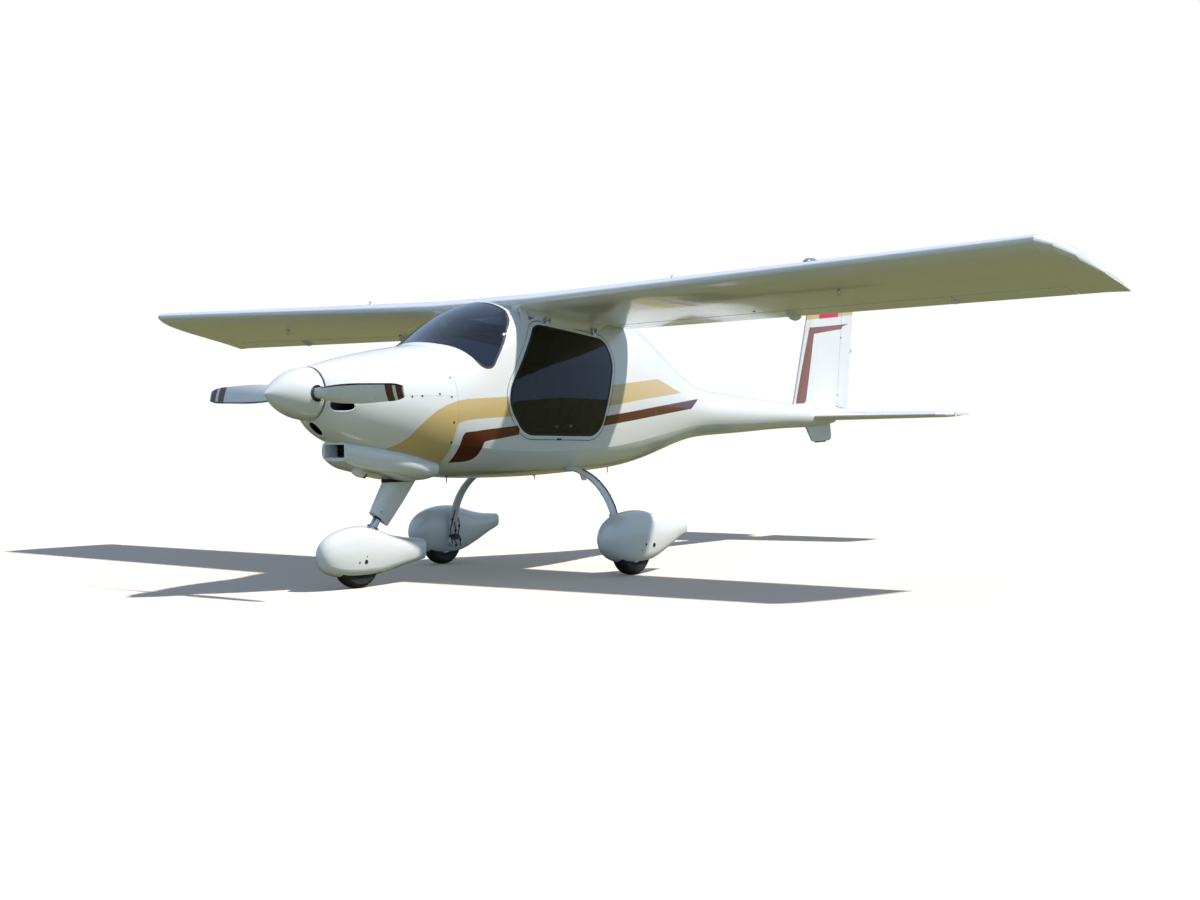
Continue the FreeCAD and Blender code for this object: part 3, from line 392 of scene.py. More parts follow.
# ---- mesh building ----
class Shape:
    """A mesh in the making, out of lofts, tubes, turned parts and bevelled blocks."""

    def __init__(self):
        self.bm = bmesh.new()

    def loft(self, rows, closed=False):
        """Skins rings of points, each ring closed; closed joins the last ring to the first."""
        rings = [[self.bm.verts.new(point) for point in row] for row in rows]
        for a, b in zip(rings, rings[1:] + rings[:1] if closed else rings[1:]):
            for i in range(len(a)):
                j = (i + 1) % len(a)
                self.bm.faces.new((a[i], a[j], b[j], b[i]))
        if not closed:
            self.bm.faces.new(rings[0][::-1])
            self.bm.faces.new(rings[-1])
        return self

    def lathe(self, centre, axis, profile, sides=40):
        """Turns a closed outline of (along, radius) points about an axis."""
        axis = Vector(axis).normalized()
        across = axis.orthogonal().normalized()
        other = axis.cross(across)
        rings = []
        for angle in around(sides):
            out = spoke(angle, across, other)
            rings.append([Vector(centre) + axis * along + out * radius for along, radius in profile])
        return self.loft(rings, closed=True)

    def solid(self, centre, axis, profile, sides=40, tip=None):
        """Turns an outline with no hole in it, which ends flat or in a tip."""
        end = profile[-1][0] if tip is None else tip
        return self.lathe(centre, axis, [(profile[0][0], CORE), *profile, (end, CORE)], sides)

    def stud(self, centre, axis, radius, height, dome=0.25, sides=20, sink=0.002):
        """A round head standing on a surface, domed, with its foot sunk in."""
        edge = radius * 0.14
        top = height * (1 + dome)
        return self.solid(centre, axis, [(-sink, radius), (height - edge, radius), (height, radius - edge),
                                         (height + (top - height) * 0.7, radius * 0.5)], sides, top)

    def tube(self, points, radius, sides=12):
        """A pipe through points; radius may be one per point."""
        points = [Vector(p) for p in points]
        radii = radius if isinstance(radius, list) else [radius] * len(points)
        rings = []
        across = (points[1] - points[0]).normalized().orthogonal().normalized()
        for i, point in enumerate(points):
            along = (points[min(i + 1, len(points) - 1)] - points[max(i - 1, 0)]).normalized()
            across = (across - along * across.dot(along)).normalized()
            other = along.cross(across)
            rings.append([point + spoke(angle, across, other) * radii[i] for angle in around(sides)])
        return self.loft(rings)

    def ribbon(self, path, section, closed=False):
        """Sweeps a section of (across, out) points along a path of (point, outward normal)."""
        rings = []
        count = len(path)
        for i, (point, normal) in enumerate(path):
            before = path[(i - 1) % count if closed else max(i - 1, 0)][0]
            after = path[(i + 1) % count if closed else min(i + 1, count - 1)][0]
            along = (after - before).normalized()
            out = (normal - along * normal.dot(along)).normalized()
            across = along.cross(out)
            rings.append([point + across * a + out * o for a, o in section])
        return self.loft(rings, closed=closed)

    def block(self, centre, half, bevel=0.002, segments=2, axes=(X_AXIS, Y_AXIS, Z_AXIS)):
        """A box with rounded edges, by its half sizes along three axes."""
        made = bmesh.ops.create_cube(self.bm, size=2.0)["verts"]
        for vert in made:
            vert.co = sum((axis * (size * c) for axis, size, c in zip(axes, half, vert.co)), Vector(centre))
        edges = list(dict.fromkeys(edge for vert in made for edge in vert.link_edges))
        bmesh.ops.bevel(self.bm, geom=edges, offset=bevel, segments=segments, profile=0.6, affect="EDGES")
        return self

    def piece(self, name, material, body="airframe", slot=None, sharp=38.0):
        """Ends the mesh as a piece of the aircraft that rides on a body; an empty mesh makes none."""
        if not self.bm.verts:
            return self.bm.free()
        bmesh.ops.recalc_face_normals(self.bm, faces=self.bm.faces)
        mesh = bpy.data.meshes.new(name)
        self.bm.to_mesh(mesh)
        self.bm.free()
        mesh.shade_smooth()
        mesh.set_sharp_from_angle(angle=radians(sharp))
        made = add_object(name, mesh)
        mesh.materials.append(MATERIALS[material])
        slot = slot or SLOTS[material]
        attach(made, body)
        return made


class Skin:
    """The outside of some CAD nodes or pieces, to set pieces on by casting rays at it."""

    def __init__(self, *names):
        points, faces = [], []
        for name in names:
            start = len(points)
            mesh = NODES[name].data if isinstance(name, str) else name.data
            points += [vert.co.copy() for vert in mesh.vertices]
            faces += [[start + i for i in face.vertices] for face in mesh.polygons]
        self.tree = BVHTree.FromPolygons(points, faces)

    def hit(self, start, direction):
        """The first point that a ray meets, and the surface's normal back along the ray."""
        direction = Vector(direction)
        point, normal, _, _ = self.tree.ray_cast(Vector(start), direction)
        if point is None:
            return None
        return point, normal if normal.dot(direction) < 0 else -normal

    def side(self, x, z, sign, away=3.0):
        """The skin's outside at a place in the side view."""
        return self.hit((x, away * sign, z), (0, -sign, 0))

    def top(self, x, y, above=3.0):
        return self.hit((x, y, above), (0, 0, -1))

    def underside(self, x, y, below=0.5):
        return self.hit((x, y, below), (0, 0, 1))


def rounded_outline(corners, grow=0.0, step=0.012):
    """Points along a side-view outline of (x, z, corner radius), grown outwards by grow."""
    flat = [Vector((x, z)) for x, z, _ in corners]
    pairs = list(zip(flat, flat[1:] + flat[:1]))
    turn = copysign(1.0, sum(a.cross(b) for a, b in pairs))
    sides = []
    for a, b in pairs:
        run = (b - a).normalized()
        sides.append((a + Vector((run.y, -run.x)) * turn * grow, run))
    bends = []
    for i, (q, w) in enumerate(sides):
        p, u = sides[i - 1]
        corner = p + u * ((q - p).cross(w) / u.cross(w))
        radius = corners[i][2] + grow
        half = (-u).angle(w) / 2
        centre = corner + (w - u).normalized() * (radius / sin(half))
        bends.append((corner - u * (radius / tan(half)), centre, radius, pi - 2 * half))
    points = []
    for i, (start, centre, radius, sweep) in enumerate(bends):
        steps = max(2, round(sweep * radius / step))
        points += [centre + Matrix.Rotation(turn * sweep * k / steps, 2) @ (start - centre)
                   for k in range(steps + 1)]
        run = bends[(i + 1) % len(bends)][0] - points[-1]
        steps = max(1, round(run.length / step))
        points += [points[-1] + run * (k / steps) for k in range(1, steps)]
    return points


def mirrored(*half, crown=None):
    """A strip's section of (across, out) points, from its left half and the height of its middle."""
    ridge = [] if crown is None else [(0.0, crown)]
    return [(-across, out) for across, out in half] + ridge + list(half[::-1])


def oval(centre, half, up, down, count):
    """A ring about x, with its own height above and below the centre."""
    return [centre + Vector((0, cos(a) * half, sin(a) * (up if sin(a) > 0 else down)))
            for a in around(count)]


def bend(a, corner, b, shares):
    """Points on the curve that leaves a towards a corner and comes from it to b."""
    return [a + (corner - a) * 2 * t * (1 - t) + (b - a) * t * t for t in shares]


def fit(name, material, hits, *parts, body="airframe", slot=None):
    """A piece with the same parts wherever a ray met a skin; a part is a Shape call and its values."""
    shape = Shape()
    for point, normal in met(hits):
        for make, *values in parts:
            make(shape, point, normal, *values)
    shape.piece(name, material, body, slot)


def squared_off(value, power):
    """A sine or cosine, pushed towards a square's with a power below 1."""
    return copysign(abs(value) ** power, value)


# ---- places in the CAD frame ----
COWL = Skin("cowl_upper", "cowl_lower")
WINGS = Skin("wing_left", "wing_right", "wing_centre")
FLOOR_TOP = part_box("cabin_floor")[1].z
# each wheel: kind, side, body, middle and the sides on which it is seen
NOSE_AXLE, MAIN_AXLES = middle("nose_rim"), {side: middle("main_rim_" + side) for side, _ in SIDES}
WHEELS = [("nose", "", "nose_wheel", NOSE_AXLE, BOTH)]
WHEELS += [("main", "_" + side, "wheel_" + side, MAIN_AXLES[side], (sign,)) for side, sign in SIDES]
TYRE_HALF, TYRE_RADIUS = half_size("nose_tyre")
RIM_HALF, RIM_RADIUS = half_size("nose_rim")

# outlines of the door's window and of the windshield, as in the part: x, z, corner radius
WINDOW = [(at_station(s), z, r) for s, z, r in (
    (1.905, 1.69, 0.1), (2.612, 1.598, 0.11), (2.668, 1.44, 0.2), (2.498, 0.925, 0.15),
    (1.74, 0.945, 0.19), (1.553, 1.185, 0.19))]
WINDSHIELD = [(at_station(s), z, r) for s, z, r in (
    (1.13, 1.9, 0.005), (1.19, 1.59, 0.03), (1.33, 1.508, 0.2), (1.44, 1.322, 0.075),
    (1.742, 1.712, 0.06), (1.85, 1.95, 0.005))]
WINDSHIELD_BACK = at_station(1.843)
DOOR_FRAME, DOOR_GAP = 0.024, 0.005

# ---- glass edges and doors ----
# sections of the strips, and how far out from the window's outline each one runs
LIP = mirrored((0.005, -0.002), (0.005, 0.0008), (0.002, 0.0016))
BORDER = mirrored((0.007, -0.003), (0.007, 0.0007))
GASKET = mirrored((0.0019, -0.009), (0.0019, -0.0022), crown=-0.0014)
BORDER_OUT, LIP_OUT, GASKET_OUT = -0.009, 0.006, DOOR_FRAME + DOOR_GAP + 0.0008
WINDSHIELD_BORDER_OUT = -0.008
DOOR_LATCH_X, DOOR_LATCH_UP = 1.219, DOOR_FRAME * 0.45
DOOR_LEVERS = ((1.253, 0.997, 0.03), (1.113, 1.002, 0.055))     # x, z, length


def add_door_trim():
    """Border and lip round each door's glass, and the gasket in the shell's rebate."""
    for side, sign in SIDES:
        for name, node, body, grow, section, material in (
                ("door_glass_border_", "door_glass_" + side, "door_" + side, BORDER_OUT, BORDER, "seal"),
                ("door_glass_lip_", "door_frame_" + side, "door_" + side, LIP_OUT, LIP, "white"),
                ("door_gasket_", "cabin_shell", "airframe", GASKET_OUT, GASKET, "seal")):
            skin = Skin(node)
            path = met(skin.side(spot.x, spot.y, sign) for spot in rounded_outline(WINDOW, grow))
            Shape().ribbon(path, section, closed=True).piece(name + side, material, body)


def add_door_latches():
    """A latch on the outside of each door's frame and two levers inside its glass."""
    for side, sign in SIDES:
        low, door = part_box("door_frame_" + side)[0].z, "door_" + side
        latch, levers, glass = Shape(), Shape(), Skin("door_glass_" + side)
        for point, normal in met([Skin("door_frame_" + side).side(DOOR_LATCH_X, low + DOOR_LATCH_UP, sign)]):
            latch.block(point + normal * 0.002, (0.02, 0.004, 0.006),
                        axes=(X_AXIS, normal, X_AXIS.cross(normal)))
            latch.stud(point + X_AXIS * 0.01 + normal * 0.005, normal, 0.005, 0.002)
        latch.piece("door_latch_" + side, "dark_metal", door)
        for x, z, length in DOOR_LEVERS:
            for point, normal in met([glass.side(x, z, sign)]):
                seat = point - normal * 0.0045
                levers.stud(seat, -normal, 0.012, 0.008)
                levers.block(seat - normal * 0.014 + X_AXIS * length / 2, (length / 2 + 0.008, 0.004, 0.008),
                             0.003, axes=(X_AXIS, normal, X_AXIS.cross(normal)))
        levers.piece("door_levers_" + side, "steel", door)


def add_windshield_trim():
    """Border along the edges of the windshield, up to the wing on each side."""
    glass, seal = Skin("windshield"), Shape()
    run = [spot for spot in rounded_outline(WINDSHIELD, WINDSHIELD_BORDER_OUT) if spot.x > WINDSHIELD_BACK]
    start = max(range(len(run)), key=lambda i: (run[i] - run[i - 1]).length)
    for sign in BOTH:
        path = met(glass.side(spot.x, spot.y, sign) for spot in run[start:] + run[:start])
        seal.ribbon([found for found in path if found[0].y * sign > 0.03], BORDER)
    seal.piece("windshield_border", "seal")


# ---- cowl ----
# (x, z) of the quarter-turn fasteners on each side of the cowl
FASTENERS = ((2.113, 1.455), (2.145, 1.325), (2.163, 1.199), (2.147, 1.038), (2.138, 0.911), (2.513, 1.201),
             (2.449, 1.204), (2.379, 1.207), (2.7, 1.218), (2.86, 1.222), (2.25, 1.218))
# middle and half size of each inlet, across and up
INLETS = ((0.215, 0.051, 1.15, 0.035), (-0.215, 0.051, 1.15, 0.035), (0.0, 0.0455, 1.012, 0.0455))
INLET_BACK, DUCT_END = at_station(0.6), at_station(0.614)


def add_fasteners():
    """Quarter-turn fasteners: a slotted head in a ring."""
    heads, spots = Shape(), met(COWL.side(x, z, sign) for x, z in FASTENERS for sign in BOTH)
    fit("fastener_rings", "steel", spots, (Shape.lathe, [
        (-0.001, 0.0045), (-0.001, 0.0082), (0.0006, 0.0082), (0.0011, 0.007), (0.0007, 0.0045)], 20))
    for point, normal in spots:
        heads.stud(point, normal, 0.0043, 0.0006, 0.4, 16, 0.001)
        across = normal.orthogonal().normalized()
        heads.block(point + normal * 0.0009, (0.0033, 0.0006, 0.0004), 0.0002, 1,
                    (across, normal.cross(across), normal))
    heads.piece("fastener_heads", "dark_metal")


def add_inlet_lips():
    """Rolled lips round the cheek inlets and the round inlet, on the cowl's skin, with ducts behind."""
    lips, ducts = Shape(), Shape()
    for centre_y, half_y, centre_z, half_z in INLETS:
        path = met(COWL.hit((NOSE_X, centre_y + squared_off(cos(a), 0.7) * half_y,
                             centre_z + sin(a) * half_z), AFT) for a in around(48))
        path = [(point, normal) for point, normal in path if point.x > INLET_BACK]
        lips.ribbon(path, mirrored((0.005, -0.004), (0.005, 0.001), crown=0.0035), closed=True)
        centre = Vector((0.0, centre_y, centre_z))
        rings = []
        for back, share in ((False, 1.0), (True, 1.0), (True, 0.93), (False, 0.93)):
            ring = []
            for point, _ in path:
                spot = centre + (Vector((0.0, point.y, point.z)) - centre) * share
                ring.append(Vector((DUCT_END if back else point.x - 0.007, spot.y, spot.z)))
            rings.append(ring)
        ducts.loft(rings, closed=True)
    ducts.piece("inlet_ducts", "black")
    lips.piece("inlet_lips", "hull")


RADIATOR = (at_station(0.65), 0.87, 0.086, 0.037)     # x, z, half width, half height
RADIATOR_FINS, RADIATOR_BARS = 30, 5
OUTLET_Z, OUTLET_SLATS = 0.755, (-0.14, -0.07, 0.0, 0.07, 0.14)
# along the pipe, half width and half height of the exhaust's fairing
EXHAUST_X, EXHAUST_Y = at_station(0.705), 0.03
EXHAUST_FAIRING = ((0.05, 0.004, 0.002), (0.034, 0.026, 0.02), (0.01, 0.038, 0.04), (-0.02, 0.042, 0.056),
                   (-0.04, 0.038, 0.058))


def add_radiator():
    """Core of the radiator in the chin scoop, with fine fins, and the scoop's slatted outlet: slats on a
    black plate that paints the shade inside the open outlet.
    """
    x, z, half_y, half_z = RADIATOR
    core = Shape().block((x, 0, z), (0.01, half_y, half_z), 0.001)
    for k in range(RADIATOR_FINS):
        y = -half_y + 2 * half_y * (k + 0.5) / RADIATOR_FINS
        core.block((x + 0.012, y, z), (0.003, 0.0006, half_z - 0.004), 0.0002, 1)
    for k in range(RADIATOR_BARS):
        level = z - half_z + 2 * half_z * (k + 0.5) / RADIATOR_BARS
        core.block((x + 0.0125, 0, level), (0.002, half_y - 0.003, 0.0022), 0.0008)
    core.piece("radiator_core", "dark_metal")
    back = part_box("chin_scoop")[0].x
    # black plate on the scoop's rear face: painted shade for the open outlet; the slats are its grille
    outlet = Shape().block((back - 0.003, 0, OUTLET_Z), (0.003, 0.205, 0.05))
    for y in OUTLET_SLATS:
        outlet.block((back - 0.007, y, OUTLET_Z), (0.003, 0.002, 0.046), 0.0008)
    outlet.piece("scoop_grille_on_painted_shade", "black")


def add_exhaust():
    """Tail pipe under the chin, in a flattened fairing."""
    fairing, pipe = Shape(), Shape()
    for start, _ in met([Skin("chin_scoop").underside(EXHAUST_X, EXHAUST_Y, 0.0)]):
        fairing.loft([oval(start + Vector((along, 0, 0.01 - along * 0.25)), width, drop, drop, 24)
                      for along, width, drop in EXHAUST_FAIRING])
        pipe.lathe(start + Vector((-0.036, 0, -0.022)), (-1, 0, -0.35), [
            (-0.03, 0.019), (0.022, 0.019), (0.022, 0.0165), (-0.03, 0.0165)], 28)
    fairing.piece("exhaust_fairing", "white")
    pipe.piece("exhaust_pipe", "burnt")


# masts and whip aerials: x, y, length, lean aft
MASTS = ((1.885, 0.1, 0.044, 0.0), (2.18, 0.03, 0.034, 0.0), (0.995, 0.06, 0.032, 0.15),
         (0.14, 0.0, 0.05, 0.2))
# the blade aerial: x, length, half chord, half thickness
AERIAL_X, AERIAL_LENGTH, AERIAL_CHORD, AERIAL_HALF = 0.42, 0.08, 0.045, 0.0065


def add_belly_fittings():
    """Drain masts, whip aerials and a blade aerial under the fuselage."""
    belly = Skin("cabin_shell", "tail_boom", "cowl_lower")
    masts, blade = Shape(), Shape()
    for x, y, length, lean in MASTS:
        for point, normal in met([belly.underside(x, y, 0.1)]):
            masts.stud(point, normal, 0.01, 0.003)
            masts.tube([point + Vector((-lean * length, 0, -length)) * share for share in (0.0, 0.5, 1.0)],
                       [0.004, 0.0034, 0.0028])
    masts.piece("belly_masts", "black")
    for root, _ in met([belly.underside(AERIAL_X, 0.0, 0.1)]):
        rows = []
        for share in (0.0, 0.35, 0.7, 0.93, 1.0):
            chord = AERIAL_CHORD * (1 - 0.4 * share) * (1.0 if share < 1 else 0.6)
            centre = root + Vector((-0.3 * AERIAL_LENGTH * share, 0, 0.004 - AERIAL_LENGTH * share))
            rows.append([centre + Vector((cos(a) * chord, sin(a) * AERIAL_HALF * (1 - 0.5 * share), 0))
                         for a in around(20)])
        blade.loft(rows)
    blade.piece("belly_blades", "white")


# ---- wing and tail ----
TIP_LIGHT = (at_station(2.565), 1.864)      # x and z on the wing tip's face
# fittings on each wing: x, y
FUEL_CAP, FUEL_VENT, TIE_DOWN = (1.02, 2.9), (1.16, 1.44), (1.0, 2.6)
WING_DRAINS = ((0.55, 0.62), (0.62, 1.7))


def add_wing_lights():
    """A flush round light on each wing tip: a bulb under a clear dome in a dark ring."""
    spots = {side: Skin("wing_" + side).side(*TIP_LIGHT, sign) for side, sign in SIDES}
    for side, lens in (("left", "red_lens"), ("right", "green_lens")):
        fit("position_bulb_" + side, lens, [spots[side]], (Shape.solid, [
            (-0.005, 0.008), (0.005, 0.008), (0.009, 0.005)], 24, 0.01))
    fit("position_light_rings", "dark_metal", spots.values(), (Shape.lathe, [
        (-0.004, 0.021), (-0.004, 0.03), (0.002, 0.03), (0.005, 0.027), (0.005, 0.023), (0.001, 0.021)]))
    fit("position_light_domes", "clear_lens", spots.values(), (Shape.solid, [
        (-0.003, 0.0235), (0.004, 0.0235), (0.01, 0.019), (0.014, 0.011)], 40, 0.0155))


def add_wing_fittings():
    """Fuel caps and vents on top of the wing, tie-down rings and drains below."""
    caps, vents, rings = Shape(), Shape(), Shape()

    def spots(ray, *places):
        return met(ray(x, sign * y) for sign in BOTH for x, y in places)

    for point, normal in spots(WINGS.top, FUEL_CAP):
        caps.solid(point, normal, [(-0.006, 0.066), (0.006, 0.064), (0.012, 0.056), (0.012, 0.045),
                                   (0.009, 0.042)], 48)
        caps.block(point + normal * 0.013, (0.034, 0.006, 0.004), 0.0018)
    for point, _ in spots(WINGS.top, FUEL_VENT):
        vents.tube([point + Vector((back, 0, up)) for back, up in (
            (0.0, -0.004), (0.0, 0.018), (-0.006, 0.03), (-0.016, 0.038))], 0.004)
    for point, normal in spots(WINGS.underside, TIE_DOWN):
        rings.stud(point, normal, 0.012, 0.004)
        rings.tube([point - Z_AXIS * 0.021 + Vector((cos(a) * 0.016, 0, sin(a) * 0.016))
                    for a in around(20) + [2 * pi]], 0.003, 10)
    caps.piece("fuel_caps", "steel")
    vents.piece("fuel_vents", "steel")
    rings.piece("tie_down_rings", "steel")
    fit("wing_drains", "dark_metal", spots(WINGS.underside, *WING_DRAINS), (Shape.stud, 0.009, 0.004))


# aft of the front, half width and height of the blister on top of the left wing
BLISTER_FRONT, BLISTER_Y = 1.265, 2.53
BLISTER = ((0.0, 0.003, 0.003), (0.012, 0.018, 0.016), (0.04, 0.028, 0.027), (0.085, 0.031, 0.032),
           (0.14, 0.024, 0.025), (0.19, 0.013, 0.013), (0.225, 0.003, 0.002))
# across the span, length, depth and half width of the fairings under the flaperons
FAIRINGS = ((1.86, 0.18, 0.046, 0.019), (3.06, 0.13, 0.03, 0.014))
FAIRING_START = 0.118           # aft of the flaperon's front


def add_wing_blister():
    """The cover of a light or aerial, sunk a little into the wing's top, in a blue-grey that paints the shade
    on it.
    """
    rows = [oval(WINGS.top(BLISTER_FRONT - aft, BLISTER_Y)[0] - Z_AXIS * 0.004, half, height, 0.003, 28)
            for aft, half, height in BLISTER]
    Shape().loft(rows).piece("wing_blister", "smoke")


def add_flaperon_fairings():
    """Drive and bracket fairings under each flaperon, which turn with it."""
    for side, sign in SIDES:
        node, shape = "flaperon_" + side, Shape()
        skin, front = Skin(node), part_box(node)[1].x - FAIRING_START
        for y, length, depth, half in FAIRINGS:
            rows, top = [], None
            for share in (0.0, 0.1, 0.3, 0.55, 0.8, 0.95, 1.0):
                x = front - length * share
                found = skin.underside(x, sign * y)
                if found:
                    top = found[0] + Z_AXIS * 0.004
                elif top:
                    top = Vector((x, top.y, top.z - 0.003))
                else:
                    continue
                swell = max(0.06, sin(pi * min(1.0, share * 0.9 + 0.08)) ** 0.7)
                rows.append(oval(top, half * swell, 0.002, depth * swell, 20))
            if len(rows) > 2:
                shape.loft(rows)
        shape.piece("flaperon_fairings_" + side, "white", node)


FILLET_FRONT, FILLET_STEP, FILLET_COUNT = 1.822, 0.045, 19      # stations
FILLET_ROOT_Y, FILLET_OUT, FILLET_DOWN = 0.44, (0.085, 0.02), (0.05, 0.012)
CUFF_BACK, CUFF_FRONT, CUFF_COUNT = 1.418, 1.484, 9
CUFF_FOOT_Z, CUFF_HEAD_Y = 1.7, 0.385


def add_root_fillets():
    """Fillet where the wing's underside meets the cabin side, ahead of the flaperon."""
    shell = Skin("cabin_shell", "door_frame_left", "door_frame_right")
    for side, sign in SIDES:
        rows, shape = [], Shape()
        for k in range(FILLET_COUNT):
            x = at_station(FILLET_FRONT + FILLET_STEP * k)
            swell = sin(pi * min(1.0, 0.12 + k / (FILLET_COUNT - 1) * 0.8)) ** 0.5
            out, down = (grow * swell + least for grow, least in (FILLET_OUT, FILLET_DOWN))
            under = WINGS.underside(x, sign * (FILLET_ROOT_Y + out))
            inner = WINGS.underside(x, sign * (FILLET_ROOT_Y + 0.012), 1.45)
            wall = inner and shell.side(x, inner[0].z - down, sign)
            if not under or not wall or abs(under[0].y) - abs(wall[0].y) < 0.004:
                continue
            a, b = wall[0], under[0]
            corner = Vector((x, a.y + (b.y - a.y) * 0.18, b.z - (b.z - a.z) * 0.12))
            rows.append(bend(a, corner, b, (0.0, 0.2, 0.4, 0.6, 0.8, 1.0))
                        + [b + Z_AXIS * 0.01, Vector((x, a.y - sign * 0.02, b.z + 0.01)),
                           a - Y_AXIS * sign * 0.02])
        if len(rows) > 3:
            shape.loft(rows)
        shape.piece("root_fillet_" + side, "white", sharp=60)


def add_pillar_cuffs():
    """Skin between each windshield pillar's head and the wing's underside."""
    shell = Skin("cabin_shell", "windshield")
    for side, sign in SIDES:
        rows, shape = [], Shape()
        for k in range(CUFF_COUNT):
            x = CUFF_BACK + (CUFF_FRONT - CUFF_BACK) * k / (CUFF_COUNT - 1)
            foot = shell.side(x, CUFF_FOOT_Z, sign)
            under = WINGS.underside(x, sign * CUFF_HEAD_Y, 1.3)
            if foot and under:
                a, b = foot[0] + Y_AXIS * sign * 0.0008, under[0] + Z_AXIS * 0.006
                corner = Vector((x, a.y - sign * 0.006, a.z + (b.z - a.z) * 0.75))
                line = bend(a, corner, b, (0.0, 0.17, 0.34, 0.5, 0.67, 0.84, 1.0))
                rows.append(line + [point + Vector((0, -sign * 0.005, -0.002)) for point in line[::-1]])
        if len(rows) > 3:
            shape.loft(rows)
        shape.piece("pillar_cuff_" + side, "white", sharp=60)


def add_tail_fittings():
    """Tail light, beacon base, tail skid, elevator tabs and static ports."""
    light, beacon, tabs = Shape(), Shape(), Shape()
    for point, _ in met([Skin("rudder").hit((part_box("rudder")[0].x - 1.0, 0, 1.62), (1, 0, 0))]):
        light.solid(point + X_AXIS * 0.004, (-1, 0, 0.1), [(-0.004, 0.014), (0.01, 0.014), (0.018, 0.01)],
                    24, 0.021)
    light.piece("tail_light", "clear_lens", "rudder")
    for point, _ in met([Skin("fin").top(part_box("fin")[1].x - 0.48, 0)]):
        beacon.solid(point, Z_AXIS, [(-0.004, 0.02), (0.006, 0.02), (0.008, 0.017)], 28)
    beacon.piece("beacon_base", "black")
    low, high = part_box("ventral_fin")
    Shape().tube([(high.x - 0.11, 0, low.z + 0.016), (high.x - 0.14, 0, low.z - 0.002),
                  (low.x + 0.09, 0, low.z + 0.002), (low.x + 0.05, 0, low.z + 0.014)],
                 [0.006, 0.0085, 0.0085, 0.006]).piece("tail_skid", "black")
    for sign in BOTH:
        for point, normal in met([Skin("elevator").top(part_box("elevator")[0].x + 0.05, sign * 0.42, 2.0)]):
            tabs.block(point + normal * 0.0004, (0.036, 0.19, 0.0006), 0.0004, 1)
            tabs.stud(point + normal * 0.001 + Y_AXIS * 0.12 * sign + X_AXIS * 0.02, normal, 0.006, 0.006)
    tabs.piece("elevator_tabs", "white", "elevator")
    fit("static_ports", "steel", (Skin("tail_boom").side(0.035, 1.085, sign) for sign in BOTH),
        (Shape.lathe, [(-0.001, 0.0022), (-0.001, 0.01), (0.0008, 0.0095), (0.0012, 0.0022)], 28))


# ---- propeller ----
BLADE_ROOT, COLLAR_Y = 0.0485, 0.15       # radius of a blade's gasket, and where its collar sits


def add_propeller_trim():
    """The spinner's back plate and screws, and a gasket and a collar round each blade's root."""
    back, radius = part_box("spinner")[0].x, half_size("spinner")[1]
    Shape().lathe((back, 0, PROP_AXIS_Z), AFT, [
        (-0.001, radius - 0.03), (-0.001, radius - 0.0015), (0.003, radius - 0.001),
        (0.0045, radius - 0.004), (0.0045, radius - 0.03)], 96).piece(
            "spinner_backplate", "dark_metal", "propeller_unit")
    skin, gaskets, collars = Skin("spinner"), Shape(), Shape()
    ring = Vector((back + 0.014, 0, PROP_AXIS_Z))
    fit("spinner_screws", "steel", (skin.hit(ring + out * 0.4, -out) for out in map(spoke, around(12, 0.5))),
        (Shape.stud, 0.004, 0.0006, 0.5, 14, 0.0008), body="propeller_unit")
    blade_x = (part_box("propeller")[0].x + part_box("propeller")[1].x) / 2
    for sign in BOTH:
        path = met(skin.side(blade_x + cos(a) * BLADE_ROOT, PROP_AXIS_Z + sin(a) * BLADE_ROOT, sign, 0.4)
                   for a in around(48))
        gaskets.ribbon(path, mirrored((0.003, -0.003), (0.003, 0.001), crown=0.0022), closed=True)
    gaskets.piece("blade_gaskets", "seal", "propeller_unit", "composite_dark")
    for sign in BOTH:
        collars.lathe((blade_x, sign * COLLAR_Y, PROP_AXIS_Z), (0, sign, 0), [
            (-0.03, 0.03), (-0.03, 0.0445), (0.0, 0.046), (0.004, 0.044), (0.004, 0.03)])
    collars.piece("blade_collars", "dark_metal", "propeller_unit")


# ---- wheels and gear ----
GROOVES = (-0.03, -0.011, 0.011, 0.03)     # centres of the tyre's grooves across its tread
# pipes and unions at a main leg's foot: (angle round the leg's arc, forward of the wheel's middle) in turn
BRAKE_RUNS = (((20.0, 0.02), (11.0, 0.032), (3.0, 0.044), (-5.0, 0.05), (-12.0, 0.036)),
              ((12.0, -0.026), (4.0, -0.042), (-3.0, -0.03), (-9.0, -0.046), (-15.0, -0.034)),
              ((8.0, 0.01), (0.0, -0.006), (-7.0, 0.016), (-14.0, 0.002)))
LEG_ARC = (0.33, 0.25, 0.449)     # y and z of the centre of the leg's arc, and its inner face's radius
BRAKE_LINE = [0.47 + 0.335 * k / 14 for k in range(15)]     # y of the points of the pipe along a main leg
CLIPPED = (2, 6, 10)            # the points of it with a clip
BRACKET_ANGLE = -6.0
BRACKET_TURN = radians(BRACKET_ANGLE)
# aft of the axle, height, radius
SPAT_PLUGS = {"nose": ((-0.055, 0.0, 0.0062), (0.006, 0.036, 0.0045)),
              "main": ((0.126, 0.026, 0.016), (0.036, 0.036, 0.008))}
# aft of the axle and height of the screws on a main spat's inner side
SPAT_SCREWS = ((-0.16, -0.02), (0.0, -0.03), (0.17, -0.02), (0.34, 0.02))
LEG_SCREWS = ((2.4, 0.474), (2.43, 0.56))       # x, z
NOSE_RAKE = radians(34.5)


